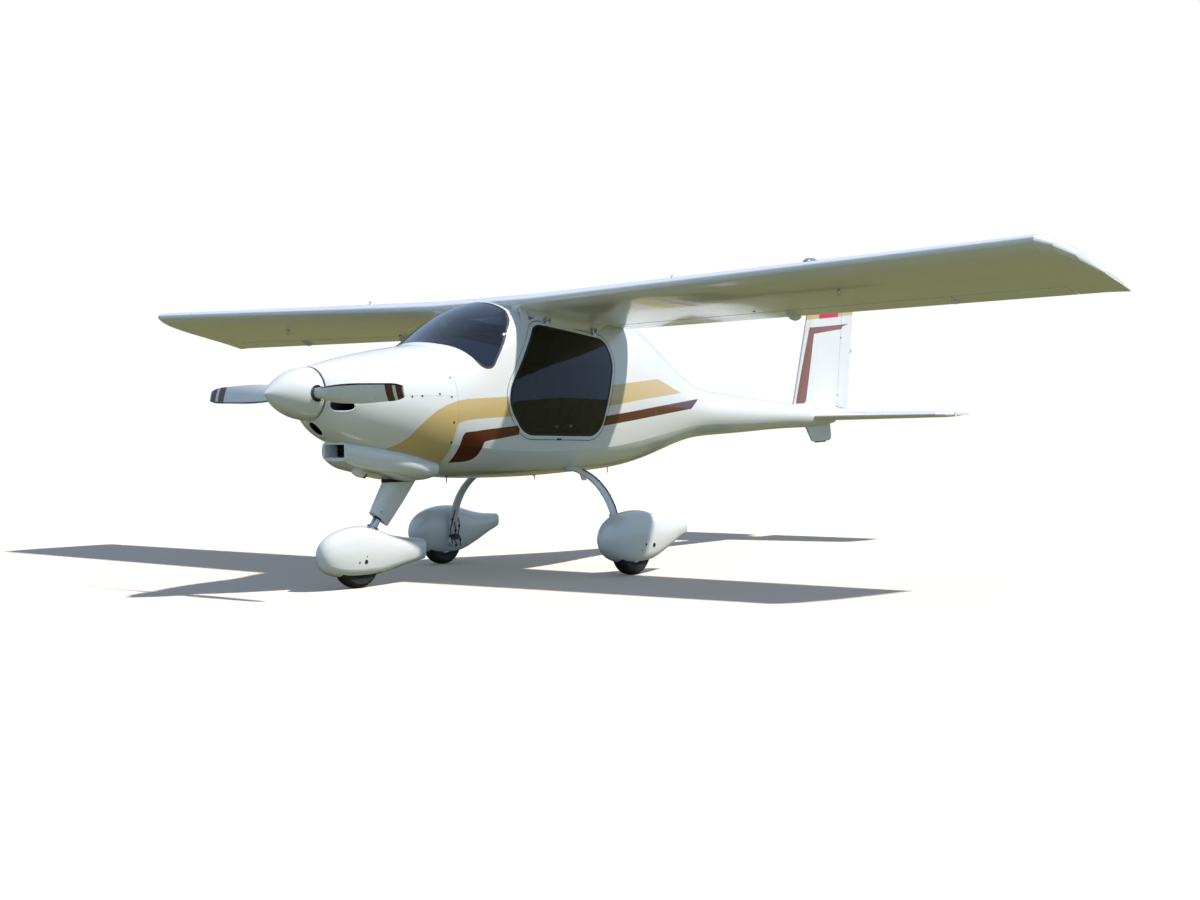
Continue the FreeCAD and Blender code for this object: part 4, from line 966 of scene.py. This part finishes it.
def tyre_profile():
    """Outline of (across, radius) round a tyre's section, with grooves and sidewall rings."""
    half, outer, bead = TYRE_HALF, TYRE_RADIUS, RIM_RADIUS
    crown = [(-0.036, outer - 0.0065)]
    for centre in GROOVES:
        top = outer - 0.0045 * (centre / 0.03) ** 2
        crown += [(centre - 0.0026, top), (centre - 0.0014, top - 0.004), (centre + 0.0014, top - 0.004),
                  (centre + 0.0026, top)]
    crown.append((0.036, outer - 0.0065))
    wall = [(half - 0.0075, outer - 0.016), (half - 0.0018, outer - 0.026), (half - 0.0006, outer - 0.031),
            (half - 0.0018, outer - 0.034), (half - 0.0004, outer - 0.046), (half - 0.0004, bead + 0.022),
            (half - 0.002, bead + 0.019), (half - 0.0008, bead + 0.016), (half - 0.006, bead + 0.006),
            (half - 0.011, bead + 0.0005)]
    inner = [(half - 0.011, bead - 0.001), (-half + 0.011, bead - 0.001)]
    return crown + wall + inner + [(-y, r) for y, r in reversed(wall)]


def add_tyres():
    """Grooved tyres in the place of the plain ones."""
    for kind, suffix, body, centre, _ in WHEELS:
        node = kind + "_tyre" + suffix
        tyre = Shape().lathe(centre, Y_AXIS, tyre_profile(), 128)
        made = tyre.piece(node + "_tread", "rubber", body, sharp=30)
        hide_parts(node)


def add_wheel_hardware():
    """Bolts, rim rings and a valve on each wheel; a brake disc and caliper on each main one."""
    for kind, suffix, body, centre, signs in WHEELS:
        bolts = Shape()
        for sign in BOTH:
            for angle in around(6):
                spot = centre + Y_AXIS * sign * 0.0125 + spoke(angle, X_AXIS, Z_AXIS) * 0.052
                bolts.solid(spot, Y_AXIS * sign, [(-0.002, 0.0085), (0.0015, 0.0085), (0.0015, 0.0062),
                                                  (0.0065, 0.006), (0.007, 0.004)], 6)
            bolts.lathe(centre, Y_AXIS * sign, [
                (RIM_HALF - 0.004, RIM_RADIUS - 0.014), (RIM_HALF + 0.001, RIM_RADIUS - 0.012),
                (RIM_HALF + 0.002, RIM_RADIUS - 0.004), (RIM_HALF - 0.004, RIM_RADIUS - 0.0015)], 72)
        valve = centre + Y_AXIS * signs[0] * 0.018 + X_AXIS * 0.07
        bolts.tube([valve, valve + Y_AXIS * signs[0] * 0.022], [0.004, 0.0034])
        bolts.piece(kind + suffix + "_wheel_bolts", "steel", body, "rim")
    for side, sign in SIDES:
        centre = MAIN_AXLES[side]
        Shape().lathe(centre, Y_AXIS * -sign, [
            (0.0405, 0.018), (0.0405, 0.027), (0.0445, 0.033), (0.0445, 0.069), (0.0455, 0.07),
            (0.0485, 0.07), (0.0495, 0.069), (0.0495, 0.018)], 72).piece(
                "brake_disc_" + side, "steel", "wheel_" + side)
        spot = centre + Vector((-0.02, -sign * 0.0555, 0.052))
        caliper = Shape().block(spot, (0.024, 0.0035, 0.014), 0.003, 3)
        caliper.block(spot + Vector((0, sign * 0.0165, 0)), (0.018, 0.0022, 0.01), 0.0015)
        caliper.block(spot + Vector((0, sign * 0.0052, 0.0205)), (0.018, 0.0078, 0.0035), 0.0015)
        for shift in (-0.014, 0.014):
            caliper.stud(spot + Vector((shift, -sign * 0.003, -0.004)), (0, -sign, 0), 0.0055, 0.004)
        caliper.piece("brake_caliper_" + side, "dark_metal")


def add_brake_pipes():
    """A rigid brake pipe clipped along each main leg."""
    for side, sign in SIDES:
        leg, points, clips = Skin("main_leg_" + side), [], Shape()
        for k, y in enumerate(BRAKE_LINE):
            for point, normal in met([leg.top(MAIN_AXLES[side].x - 0.02, sign * y, 2.0)]):
                points.append(point + normal * 0.0042)
                if k in CLIPPED:
                    clips.block(point + normal * 0.003, (0.01, 0.004, 0.004), 0.0015)
        if len(points) > 3:
            Shape().tube(points, 0.0034, 10).piece("brake_line_" + side, "black")
        clips.piece("brake_pipe_clips_" + side, "steel")


def add_brake_hardware():
    """Pipes, unions and a bracket on the inner face of each main leg's foot."""
    for side, sign in SIDES:
        shape, nuts = Shape(), Shape()

        def on_leg(angle, forward, lift):
            turn, reach = radians(angle), LEG_ARC[2] - lift
            return Vector((MAIN_AXLES[side].x + forward, sign * (LEG_ARC[0] + cos(turn) * reach),
                           LEG_ARC[1] + sin(turn) * reach))

        for run in BRAKE_RUNS:
            shape.tube([on_leg(*spot, 0.009 + 0.006 * (k % 2)) for k, spot in enumerate(run)], 0.0045, 10)
            for spot in run[1::2]:
                nuts.solid(on_leg(*spot, 0.008), (0.3, 0, 1), [(-0.008, 0.009), (0.008, 0.009)], 6)
        outward = Vector((0, cos(BRACKET_TURN) * sign, sin(BRACKET_TURN)))
        shape.block(on_leg(BRACKET_ANGLE, 0.0, 0.006), (0.03, 0.006, 0.018), 0.003,
                    axes=(X_AXIS, outward, X_AXIS.cross(outward)))
        shape.piece("brake_pipes_" + side, "black")
        nuts.piece("brake_unions_" + side, "dark_metal")


def add_spat_hardware():
    """Plugs over each spat's axle and screws on the main spats' inner sides."""
    for kind, suffix, _, centre, signs in WHEELS:
        node = kind + "_spat" + suffix
        body = "nose_steering" if kind == "nose" else "airframe"
        skin, plugs = Skin(node), Shape()
        for sign in signs:
            for aft, height, radius in SPAT_PLUGS[kind]:
                for point, normal in met([skin.side(centre.x - aft, centre.z + height, sign)]):
                    plugs.solid(point, normal, [(-0.002, radius), (0.0008, radius), (0.0016, radius * 0.86),
                                                (0.0006, radius * 0.62)], 24)
        plugs.piece(node + "_plugs", "seal", body)
        fit(node + "_screws", "steel", (skin.side(centre.x - aft, centre.z + height, sign) for sign in BOTH
                                        if sign not in signs for aft, height in SPAT_SCREWS),
            (Shape.stud, 0.0042, 0.0006, 0.5, 14, 0.001), body=body)


def add_nose_leg_fittings():
    """The oleo's bolted flange on the spat and its gland, the leg's screws, and its boot at the cowl."""
    up = Vector((-sin(NOSE_RAKE), 0, cos(NOSE_RAKE)))
    aft = Vector((-cos(NOSE_RAKE), 0, -sin(NOSE_RAKE)))
    base = NOSE_AXLE + up * 0.2515
    flange, boot, leg = Shape(), Shape(), Skin("nose_leg")
    flange.lathe(base, up, [(-0.004, 0.0205), (-0.004, 0.036), (-0.001, 0.039), (0.003, 0.039),
                            (0.005, 0.035), (0.006, 0.026), (0.01, 0.0225), (0.01, 0.0205)])
    for angle in around(6, 0.5):
        flange.stud(base + up * 0.004 + spoke(angle, aft, Y_AXIS) * 0.031, up, 0.0042, 0.004, 0.2, 6)
    flange.lathe(NOSE_AXLE, up, [(0.252, 0.0205), (0.252, 0.0265), (0.306, 0.0265), (0.309, 0.025),
                                 (0.309, 0.0205)])
    flange.piece("oleo_flange", "steel", "nose_steering")
    Shape().lathe(NOSE_AXLE + up * 0.3215, -up, [
        (-0.002, 0.0212), (-0.002, 0.027), (0.006, 0.027), (0.009, 0.0245), (0.009, 0.0212)]).piece(
            "oleo_gland", "seal", slot="composite_dark")
    fit("nose_leg_screws", "dark_metal", (leg.side(x, z, sign) for sign in BOTH for x, z in LEG_SCREWS),
        (Shape.stud, 0.0048, 0.0007, 0.5, 16, 0.001))
    rows, sides, top = [], around(36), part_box("nose_leg")[1].z - 0.052
    for drop, grow in ((0.0, 0.012), (-0.014, 0.01), (-0.024, 0.002)):
        z = top + drop
        centre = Vector((NOSE_AXLE.x + up.x / up.z * (z - NOSE_AXLE.z) - 0.012, 0, z))
        row = []
        for angle in sides:
            out = Vector((cos(angle), sin(angle) * 0.35, 0))
            for point, _ in met([leg.hit(centre + out * 0.4, -out)]):
                row.append(point + spoke(angle, X_AXIS, Y_AXIS) * grow)
        rows.append(row)
    if all(len(row) == len(sides) for row in rows):
        boot.loft(rows)
    boot.piece("nose_leg_boot", "seal", slot="composite_dark", sharp=50)


# ---- cabin ----
# y, z and radius of the round instruments
DIALS = [(y, z, 0.039) for y in (0.3, 0.215) for z in (1.33, 1.24)]
DIALS += [(y, z, 0.03) for z in (1.33, 1.258) for y in (-0.25, -0.32)]
SCREENS, SCREEN_Z, SCREEN_BUTTONS = (0.045, -0.13), 1.285, 6
SWITCHES = [(0.3 - 0.03 * k, 1.165) for k in range(9)]      # y, z


def add_instruments():
    """Dials with marks, displays with buttons, switches, the panel's padded edge and the compass."""
    panel = Skin("instrument_panel")
    bezels, faces, marks, switches = Shape(), Shape(), Shape(), Shape()

    def on_panel(y, z):
        return [point for point, _ in met([panel.hit((0.0, y, z), (1, 0, 0))])]

    for y, z, radius in DIALS:
        for point in on_panel(y, z):
            bezels.lathe(point, AFT, [(-0.001, radius * 0.84), (0.006, radius * 0.84), (0.009, radius * 0.92),
                                      (0.006, radius * 1.06), (-0.001, radius * 1.08)], 36)
            faces.solid(point, AFT, [(-0.001, radius * 0.84), (0.002, radius * 0.84)], 36)
            # the needle, then the ticks: angle, lift, how far out, half sizes, bevel
            needle = [(2.2 * y + 9 * z, 0.0035, 0.3, (0.0006, 0.0014, radius * 0.45), 0.0003)]
            for angle, lift, reach, half, bevel in needle + [
                    (angle, 0.0026, 0.74, (0.0004, 0.0007, radius * 0.07), 0.0002) for angle in around(12)]:
                out = spoke(angle)
                marks.block(point - X_AXIS * lift + out * radius * reach, half, bevel, 1,
                            (X_AXIS, out.cross(X_AXIS), out))
    for y in SCREENS:
        for point in on_panel(y, SCREEN_Z):
            centre = point - X_AXIS * 0.008
            bezels.block(centre, (0.01, 0.082, 0.068), 0.005, 3)
            faces.block(centre + Vector((-0.0098, 0, 0.004)), (0.0012, 0.07, 0.052), 0.001)
            for k in range(SCREEN_BUTTONS):
                switches.block(centre + Vector((-0.0108, -0.06 + 0.024 * k, -0.057)), (0.002, 0.008, 0.004),
                               0.0012)
    for y, z in SWITCHES:
        for seat in on_panel(y, z):
            switches.solid(seat, AFT, [(-0.001, 0.0065), (0.003, 0.006), (0.004, 0.0035)], 12)
            switches.tube([seat, seat + Vector((-0.016, 0, 0.005))], [0.0022, 0.003], 8)
    bezels.piece("instrument_bezels", "black", slot="interior")
    faces.piece("instrument_faces", "screen")
    marks.piece("instrument_marks", "mark_white")
    switches.piece("panel_switches", "steel")
    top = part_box("instrument_panel")[1].z
    Shape().block((at_station(1.531), 0, top - 0.006), (0.006, 0.415, 0.009), 0.004, 3).piece(
        "panel_hood_edge", "leather")
    spot = Vector((at_station(1.42), 0.02, top + 0.026))
    Shape().block(spot, (0.034, 0.034, 0.028), 0.01, 4).block(
        spot - Z_AXIS * 0.026, (0.026, 0.028, 0.006), 0.003).piece("compass", "black", slot="interior")


# station, half width and top of the console's sections
CONSOLE = ((1.505, 0.05, 1.135), (1.62, 0.056, 1.06), (1.78, 0.06, 0.985), (2.02, 0.026, 0.945),
           (2.36, 0.024, 0.93))
# y, station, top of the console there, lean forward and the knob's radius
LEVERS = ((0.016, 1.66, 1.04, 0.02, 0.0135), (-0.018, 1.7, 1.022, -0.02, 0.011),
          (0.0, 1.84, 0.972, 0.03, 0.01))
SEAT_Y = 0.225
GRIP_RADII = [0.0182, 0.0196, 0.0186, 0.02, 0.0188, 0.0204, 0.0192, 0.021, 0.0216]       # upwards


def add_console():
    """Centre console with throttle and brake levers, between the seats and up to the panel."""
    rows = []
    for station, half, top in CONSOLE:
        left = ((half, FLOOR_TOP + 0.001), (half, top - 0.02), (half * 0.93, top - 0.006),
                (half * 0.72, top))
        rows.append([Vector((at_station(station), y, z)) for y, z in mirrored(*left)])
    Shape().loft(rows).piece("centre_console", "trim", sharp=50)
    levers, knobs = Shape(), Shape()
    for y, station, top, lean, size in LEVERS:
        foot = Vector((at_station(station), y, top - 0.01))
        head = foot + Vector((lean, 0, 0.085))
        levers.tube([foot, head], [0.0045, 0.0038], 10)
        knobs.solid(head, head - foot, [(-0.004, size * 0.6), (0.004, size), (0.016, size),
                                        (0.022, size * 0.7)], 20, 0.024)
    levers.piece("console_levers", "steel")
    knobs.piece("lever_knobs", "black")


def add_stick_grips():
    """A grip with two buttons and a leather boot on each control stick."""
    grips, buttons, boots = Shape(), Shape(), Shape()
    for sign in BOTH:
        y = sign * SEAT_Y
        top, foot = Vector((at_station(1.872), y, 1.23)), Vector((at_station(1.88), y, 1.112))
        run, count = top - foot, len(GRIP_RADII)
        grips.tube([foot + run * (k / (count - 1)) for k in range(count)], GRIP_RADII, 20)
        grips.solid(top, run, [(-0.012, 0.0225), (0.004, 0.0235), (0.014, 0.019)], 24, 0.018)
        buttons.stud(top + Vector((0.006, 0, 0.015)), run, 0.0055, 0.004)
        buttons.stud(top + Vector((0.018, 0.0, 0.002)), (1, 0, 0.2), 0.005, 0.004)
        profile = [(0.001, 0.028), (0.001, 0.06)]
        for k in range(6):
            level = 0.012 + 0.016 * k
            profile += [(level, 0.058 - 0.0075 * k), (level + 0.008, 0.048 - 0.0055 * k)]
        profile += [(0.11, 0.015), (0.11, 0.0125), (0.055, 0.027)]
        boots.lathe((at_station(1.8985), y, FLOOR_TOP), Z_AXIS, profile, 32)
    grips.piece("stick_grips", "black")
    buttons.piece("stick_buttons", "red_plastic")
    boots.piece("stick_boots", "leather", sharp=70)


def add_pedals():
    """Two ribbed pedals on a cross tube for each seat."""
    pads, arms, x = Shape(), Shape(), at_station(1.4)
    tilt = Vector((0.25, 0, 1.0)).normalized()
    axes = (Y_AXIS.cross(tilt), Y_AXIS, tilt)
    for sign in BOTH:
        for shift in (-0.075, 0.075):
            hinge = Vector((x, sign * SEAT_Y + shift, FLOOR_TOP + 0.004))
            head = hinge + Vector((-0.03, 0, 0.165))
            arms.tube([hinge, hinge + Vector((-0.004, 0, 0.085)), head], 0.008)
            pads.block(head, (0.006, 0.038, 0.048), 0.004, 3, axes)
            for k in range(4):
                rib = head - axes[0] * 0.0065 + tilt * (-0.03 + 0.02 * k)
                pads.block(rib, (0.002, 0.032, 0.003), 0.001, 1, axes)
        arms.tube([(x, sign * y, FLOOR_TOP + 0.01) for y in (0.11, 0.34)], 0.01, 14)
    pads.piece("pedal_pads", "black")
    arms.piece("pedal_arms", "steel")


# ---- seats ----
CLOTH_FRAMES, CLOTH_VOXEL, CLOTH_PRESSURE, CLOTH_CAP = 20, 0.006, 4.0, 0.009
# the seats' pads: middle (station, z), tilt about Y in degrees, half length, width and thickness, crown
PADS = {"seat_base": ((2.2535, 0.931), -9.8, (0.142, 0.178, 0.022), 0.01),
        "seat_back": ((2.5299, 1.1913), 67.7, (0.25, 0.178, 0.021), 0.009)}
PIPING_POINTS = 120
STITCH = mirrored((0.0016, -0.002), (0.0016, 0.0006), crown=0.0011)
STRAP = mirrored((0.0215, -0.0008), (0.0215, 0.001))
SHOULDER_TOP, SHOULDER_FALL, SHOULDER_POINTS = 1.405, 0.375, 30
LAP_POINTS, ADJUSTER_POINT = 20, 16
BUCKLE = Vector((at_station(2.405), 0.0, 0.998))


def cushion_mesh(name, centre, tilt, half, crown):
    """A crowned, rounded pad in a box tilted about Y, before its cloth is blown up."""
    bm = bmesh.new()
    bmesh.ops.create_cube(bm, size=2.0)
    bmesh.ops.subdivide_edges(bm, edges=bm.edges[:], cuts=9, use_grid_fill=True)
    turn = Matrix.Rotation(radians(tilt), 3, "Y")
    for vert in bm.verts:
        u, v, w = vert.co
        pinch = 1.0 - 0.055 * ((1 - u * u) * (abs(v) > 0.98) + (1 - v * v) * (abs(u) > 0.98))
        thick = 1.0 - 0.35 * max(abs(u), abs(v)) ** 4
        lift = crown * (1 - u * u) * (1 - v * v) if w > 0 else 0.0
        vert.co = Vector(centre) + turn @ Vector((u * half[0] * pinch, v * half[1] * pinch,
                                                  w * half[2] * thick + lift))
    mesh = bpy.data.meshes.new(name)
    bm.to_mesh(mesh)
    bm.free()
    return add_object(name, mesh), turn


def modifier(pad, name, kind, **settings):
    """A modifier of the given kind, set but not yet applied."""
    made = pad.modifiers.new(name, kind)
    for key, value in settings.items():
        setattr(made, key, value)
    return made


def blow_up(pad):
    """Cloth under pressure swells the pad a little; no point moves further than CLOTH_CAP."""
    remesh = modifier(pad, "remesh", "REMESH", mode="VOXEL", voxel_size=CLOTH_VOXEL)
    bpy.ops.object.modifier_apply(modifier=remesh.name)
    before = [vert.co.copy() for vert in pad.data.vertices]
    swell = modifier(pad, "cloth", "CLOTH")
    swell.settings.use_pressure = True
    swell.settings.uniform_pressure_force = CLOTH_PRESSURE
    swell.settings.effector_weights.gravity = 0.0
    swell.settings.quality = 5
    swell.settings.tension_stiffness = 20.0
    swell.point_cache.frame_end = CLOTH_FRAMES
    for step in range(1, CLOTH_FRAMES + 1):
        bpy.context.scene.frame_set(step)
    bpy.ops.object.modifier_apply(modifier=swell.name)
    bpy.context.scene.frame_set(1)
    for vert, start in zip(pad.data.vertices, before):
        move = vert.co - start
        if move.length > CLOTH_CAP:
            vert.co = start + move * (CLOTH_CAP / move.length)


def add_seats():
    """Four padded cushions with piping and sewn lines, each in the space of its plain solid."""
    for kind, ((station, z), tilt, half, crown) in PADS.items():
        first, turn = cushion_mesh(kind, (at_station(station), 0, z), tilt, half, crown)
        bpy.ops.object.select_all(action="DESELECT")
        first.select_set(True)
        bpy.context.view_layer.objects.active = first
        blow_up(first)
        smooth = modifier(first, "smooth", "SUBSURF", levels=1)
        bpy.ops.object.modifier_apply(modifier=smooth.name)
        first.data.shade_smooth()
        first.data.materials.append(MATERIALS["cushion"])
        for side, sign in SIDES:
            mesh = first.data.copy()
            mesh.transform(Matrix.Translation((0, sign * SEAT_Y, 0)))
            pad = add_object(kind + "_pad_" + side, mesh)
            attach(pad, "airframe")
            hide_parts("seat_cushions")
            add_seams(kind, side, pad, Vector((at_station(station), sign * SEAT_Y, z)), turn, half)
        bpy.data.objects.remove(first)


def add_seams(kind, side, pad, centre, turn, half):
    """Piping round a pad's upper and lower edges, and five sewn lines across its top."""
    skin, piping, sewing = Skin(pad), Shape(), Shape()
    length, across, up = (turn @ axis for axis in (X_AXIS, Y_AXIS, Z_AXIS))
    round_bar = [(cos(a) * 0.0032, sin(a) * 0.0032) for a in around(10)]
    for level in (0.45, -0.45):
        ring = []
        for a in around(PIPING_POINTS):
            u, v = squared_off(cos(a), 0.35), squared_off(sin(a), 0.35)
            core = centre + up * level * half[2] + length * u * half[0] * 0.6 + across * v * half[1] * 0.6
            out = (length * u * half[0] + across * v * half[1]).normalized()
            ring += [(point, out) for point, _ in met([skin.hit(core + out * 0.3, -out)])]
        if len(ring) > PIPING_POINTS * 0.8:
            piping.ribbon(ring, round_bar, closed=True)
    along, over = (length, half[0]), (across, half[1])
    for share, (aside, width), (run, reach), end, steps in (
            (-0.4, over, along, 0.88, 40), (0.4, over, along, 0.88, 40), (-0.45, along, over, 0.4, 24),
            (0.0, along, over, 0.4, 24), (0.45, along, over, 0.4, 24)):
        start = centre + aside * share * width
        path = met(skin.hit(start + run * (-end + 2 * end * k / steps) * reach + up * 0.2, -up)
                   for k in range(steps + 1))
        sewing.ribbon(path, STITCH)
    piping.piece(kind + "_piping_" + side, "leather", slot="cushion")
    sewing.piece(kind + "_sewing_" + side, "seal", slot="cushion")


def add_harness():
    """Shoulder and lap straps laid on the pads, with adjusters and a buckle."""
    for side, sign in SIDES:
        skin = Skin(*(bpy.data.objects[kind + "_pad_" + side] for kind in ("seat_back", "seat_base")))
        straps, metalwork = Shape(), Shape()
        buckle = BUCKLE + Y_AXIS * sign * SEAT_Y
        for turn in BOTH:
            path, lap = [], []
            for k in range(SHOULDER_POINTS):
                share = k / (SHOULDER_POINTS - 1)
                y = sign * SEAT_Y + turn * (0.085 - 0.055 * share ** 1.6)
                for point, normal in met([skin.hit((1.6, y, SHOULDER_TOP - SHOULDER_FALL * share), AFT)]):
                    normal = Vector((normal.x, 0, max(0.25, normal.z))).normalized()
                    path.append((point + normal * 0.0015, normal))
            if len(path) > 4:
                path.append((buckle + Vector((0, turn * 0.02, 0.016)), path[-1][1]))
                straps.ribbon(path, STRAP)
                spot, normal = path[ADJUSTER_POINT]
                metalwork.block(spot + normal * 0.003, (0.002, 0.027, 0.014), 0.0015,
                                axes=(normal, Y_AXIS, normal.cross(Y_AXIS)))
            for k in range(LAP_POINTS):
                share = k / (LAP_POINTS - 1)
                y = sign * SEAT_Y + turn * (0.024 + 0.142 * share)
                x = buckle.x + 0.006 - 0.03 * share ** 2
                for point, _ in met([skin.top(x, y, 1.5)]):
                    level = max(point.z + 0.0015, buckle.z - 0.052 * share)
                    lap.append((Vector((x, y, level)), Vector((0.35, 0, 1)).normalized()))
            if len(lap) > 4:
                straps.ribbon(lap, STRAP)
        straps.piece("harness_" + side, "webbing")
        metalwork.solid(buckle, (0.75, 0, 0.66), [(-0.012, 0.028), (0.004, 0.03), (0.007, 0.026),
                                                  (0.007, 0.018), (0.01, 0.016)], 32)
        metalwork.piece("harness_buckle_" + side, "dark_metal")


for add in (add_door_trim, add_door_latches, add_windshield_trim, add_fasteners, add_inlet_lips, add_radiator,
            add_exhaust, add_belly_fittings, add_wing_lights, add_wing_fittings, add_wing_blister,
            add_flaperon_fairings, add_root_fillets, add_pillar_cuffs, add_tail_fittings, add_propeller_trim,
            add_tyres, add_wheel_hardware, add_brake_pipes, add_brake_hardware, add_spat_hardware,
            add_nose_leg_fittings, add_instruments, add_console, add_stick_grips, add_pedals, add_seats,
            add_harness):
    add()


# ---- camera, floor and light ----
CAMERA_PLACE = Vector((9.838, 8.312, 1.018))
CAMERA_YAW, CAMERA_PITCH, CAMERA_ROLL = (radians(a) for a in (220.82, -0.89, -0.94))
CAMERA_LENS, CAMERA_SENSOR = 51.8, 36.0
SUN_TRAVEL = Vector((0.38, -0.62, -1.0))
SUN_POWER, SUN_COLOUR, SUN_SOFT = 4.8, (1.0, 0.965, 0.91), radians(2.0)
SKY_HIGH, SKY_LOW = (0.14, 0.19, 0.28, 1.0), (0.66, 0.92, 1.3, 1.0)
SKY_MIRRORED = (0.47, 0.63, 0.9, 1.0)
SKY_TOP = 0.65                                  # height on the sky's dome where SKY_HIGH begins
FLOOR_HALF = 60.0
FLOOR_TONE = (0.84, 0.74, 0.66, 1.0)          # warm, so that the blue sky leaves its shadows grey
FLOOR_GLOW, FLOOR_GLOW_POWER = (1.0, 0.8, 0.2, 1.0), 0.02
FLOOR_BOUNCE = (0.155, 0.156, 0.07, 1.0)       # grass, as the white paint and the glass show it


def add_camera():
    """The photo's view, with the small roll that its horizon has."""
    forward = Vector((cos(CAMERA_PITCH) * cos(CAMERA_YAW),
                      cos(CAMERA_PITCH) * sin(CAMERA_YAW), sin(CAMERA_PITCH)))
    level = forward.cross(Z_AXIS).normalized()
    upright = level.cross(forward)
    right = level * cos(CAMERA_ROLL) + upright * sin(CAMERA_ROLL)
    up = upright * cos(CAMERA_ROLL) - level * sin(CAMERA_ROLL)
    data = bpy.data.cameras.new("camera")
    data.lens, data.sensor_width = CAMERA_LENS, CAMERA_SENSOR
    camera = add_object("camera", data)
    camera.matrix_world = Matrix((right, up, -forward)).transposed().to_4x4()
    camera.matrix_world.translation = CAMERA_PLACE
    bpy.context.scene.camera = camera


def add_light():
    """A soft sun and a blue sky, with white behind the aircraft."""
    sun = bpy.data.lights.new("sun", "SUN")
    sun.energy, sun.color, sun.angle = SUN_POWER, SUN_COLOUR, SUN_SOFT
    add_object("sun", sun).rotation_euler = SUN_TRAVEL.to_track_quat("-Z", "Y").to_euler()
    world = bpy.data.worlds.new("studio")
    tree = Tree(world, "Generated")
    dome = tree.mix(tree.spread(tree.axes()["Z"], 0.0, SKY_TOP), SKY_LOW, SKY_HIGH)
    tint = tree.mix(tree.node("LightPath").outputs["Is Glossy Ray"], dome, SKY_MIRRORED)
    sky = tree.nodes["Background"]
    tree.put(tint, sky.inputs["Color"])
    white = tree.node("Background", {"Color": (1, 1, 1, 1)})
    blend = tree.node("MixShader", {0: tree.seen_directly(), 1: sky.outputs[0], 2: white.outputs[0]})
    tree.put(blend.outputs[0], tree.nodes["World Output"].inputs["Surface"])
    bpy.context.scene.world = world


def add_floor():
    """A white floor that takes the shadow and sends grass green back up."""
    mesh = bpy.data.meshes.new("floor")
    corners = ((-1, -1), (1, -1), (1, 1), (-1, 1))
    mesh.from_pydata([(x * FLOOR_HALF, y * FLOOR_HALF, 0) for x, y in corners], [], [(0, 1, 2, 3)])
    tree = Tree("floor_white")
    seen = tree.seen_directly()
    mesh.materials.append(tree.set(color=tree.mix(seen, FLOOR_BOUNCE, FLOOR_TONE), rough=1.0, specular=0.0,
                                   glow=FLOOR_GLOW, glow_strength=tree.times(seen, FLOOR_GLOW_POWER)))
    floor = add_object("floor", mesh)


add_camera()
add_light()
add_floor()
bpy.context.scene.view_settings.view_transform = "Standard"
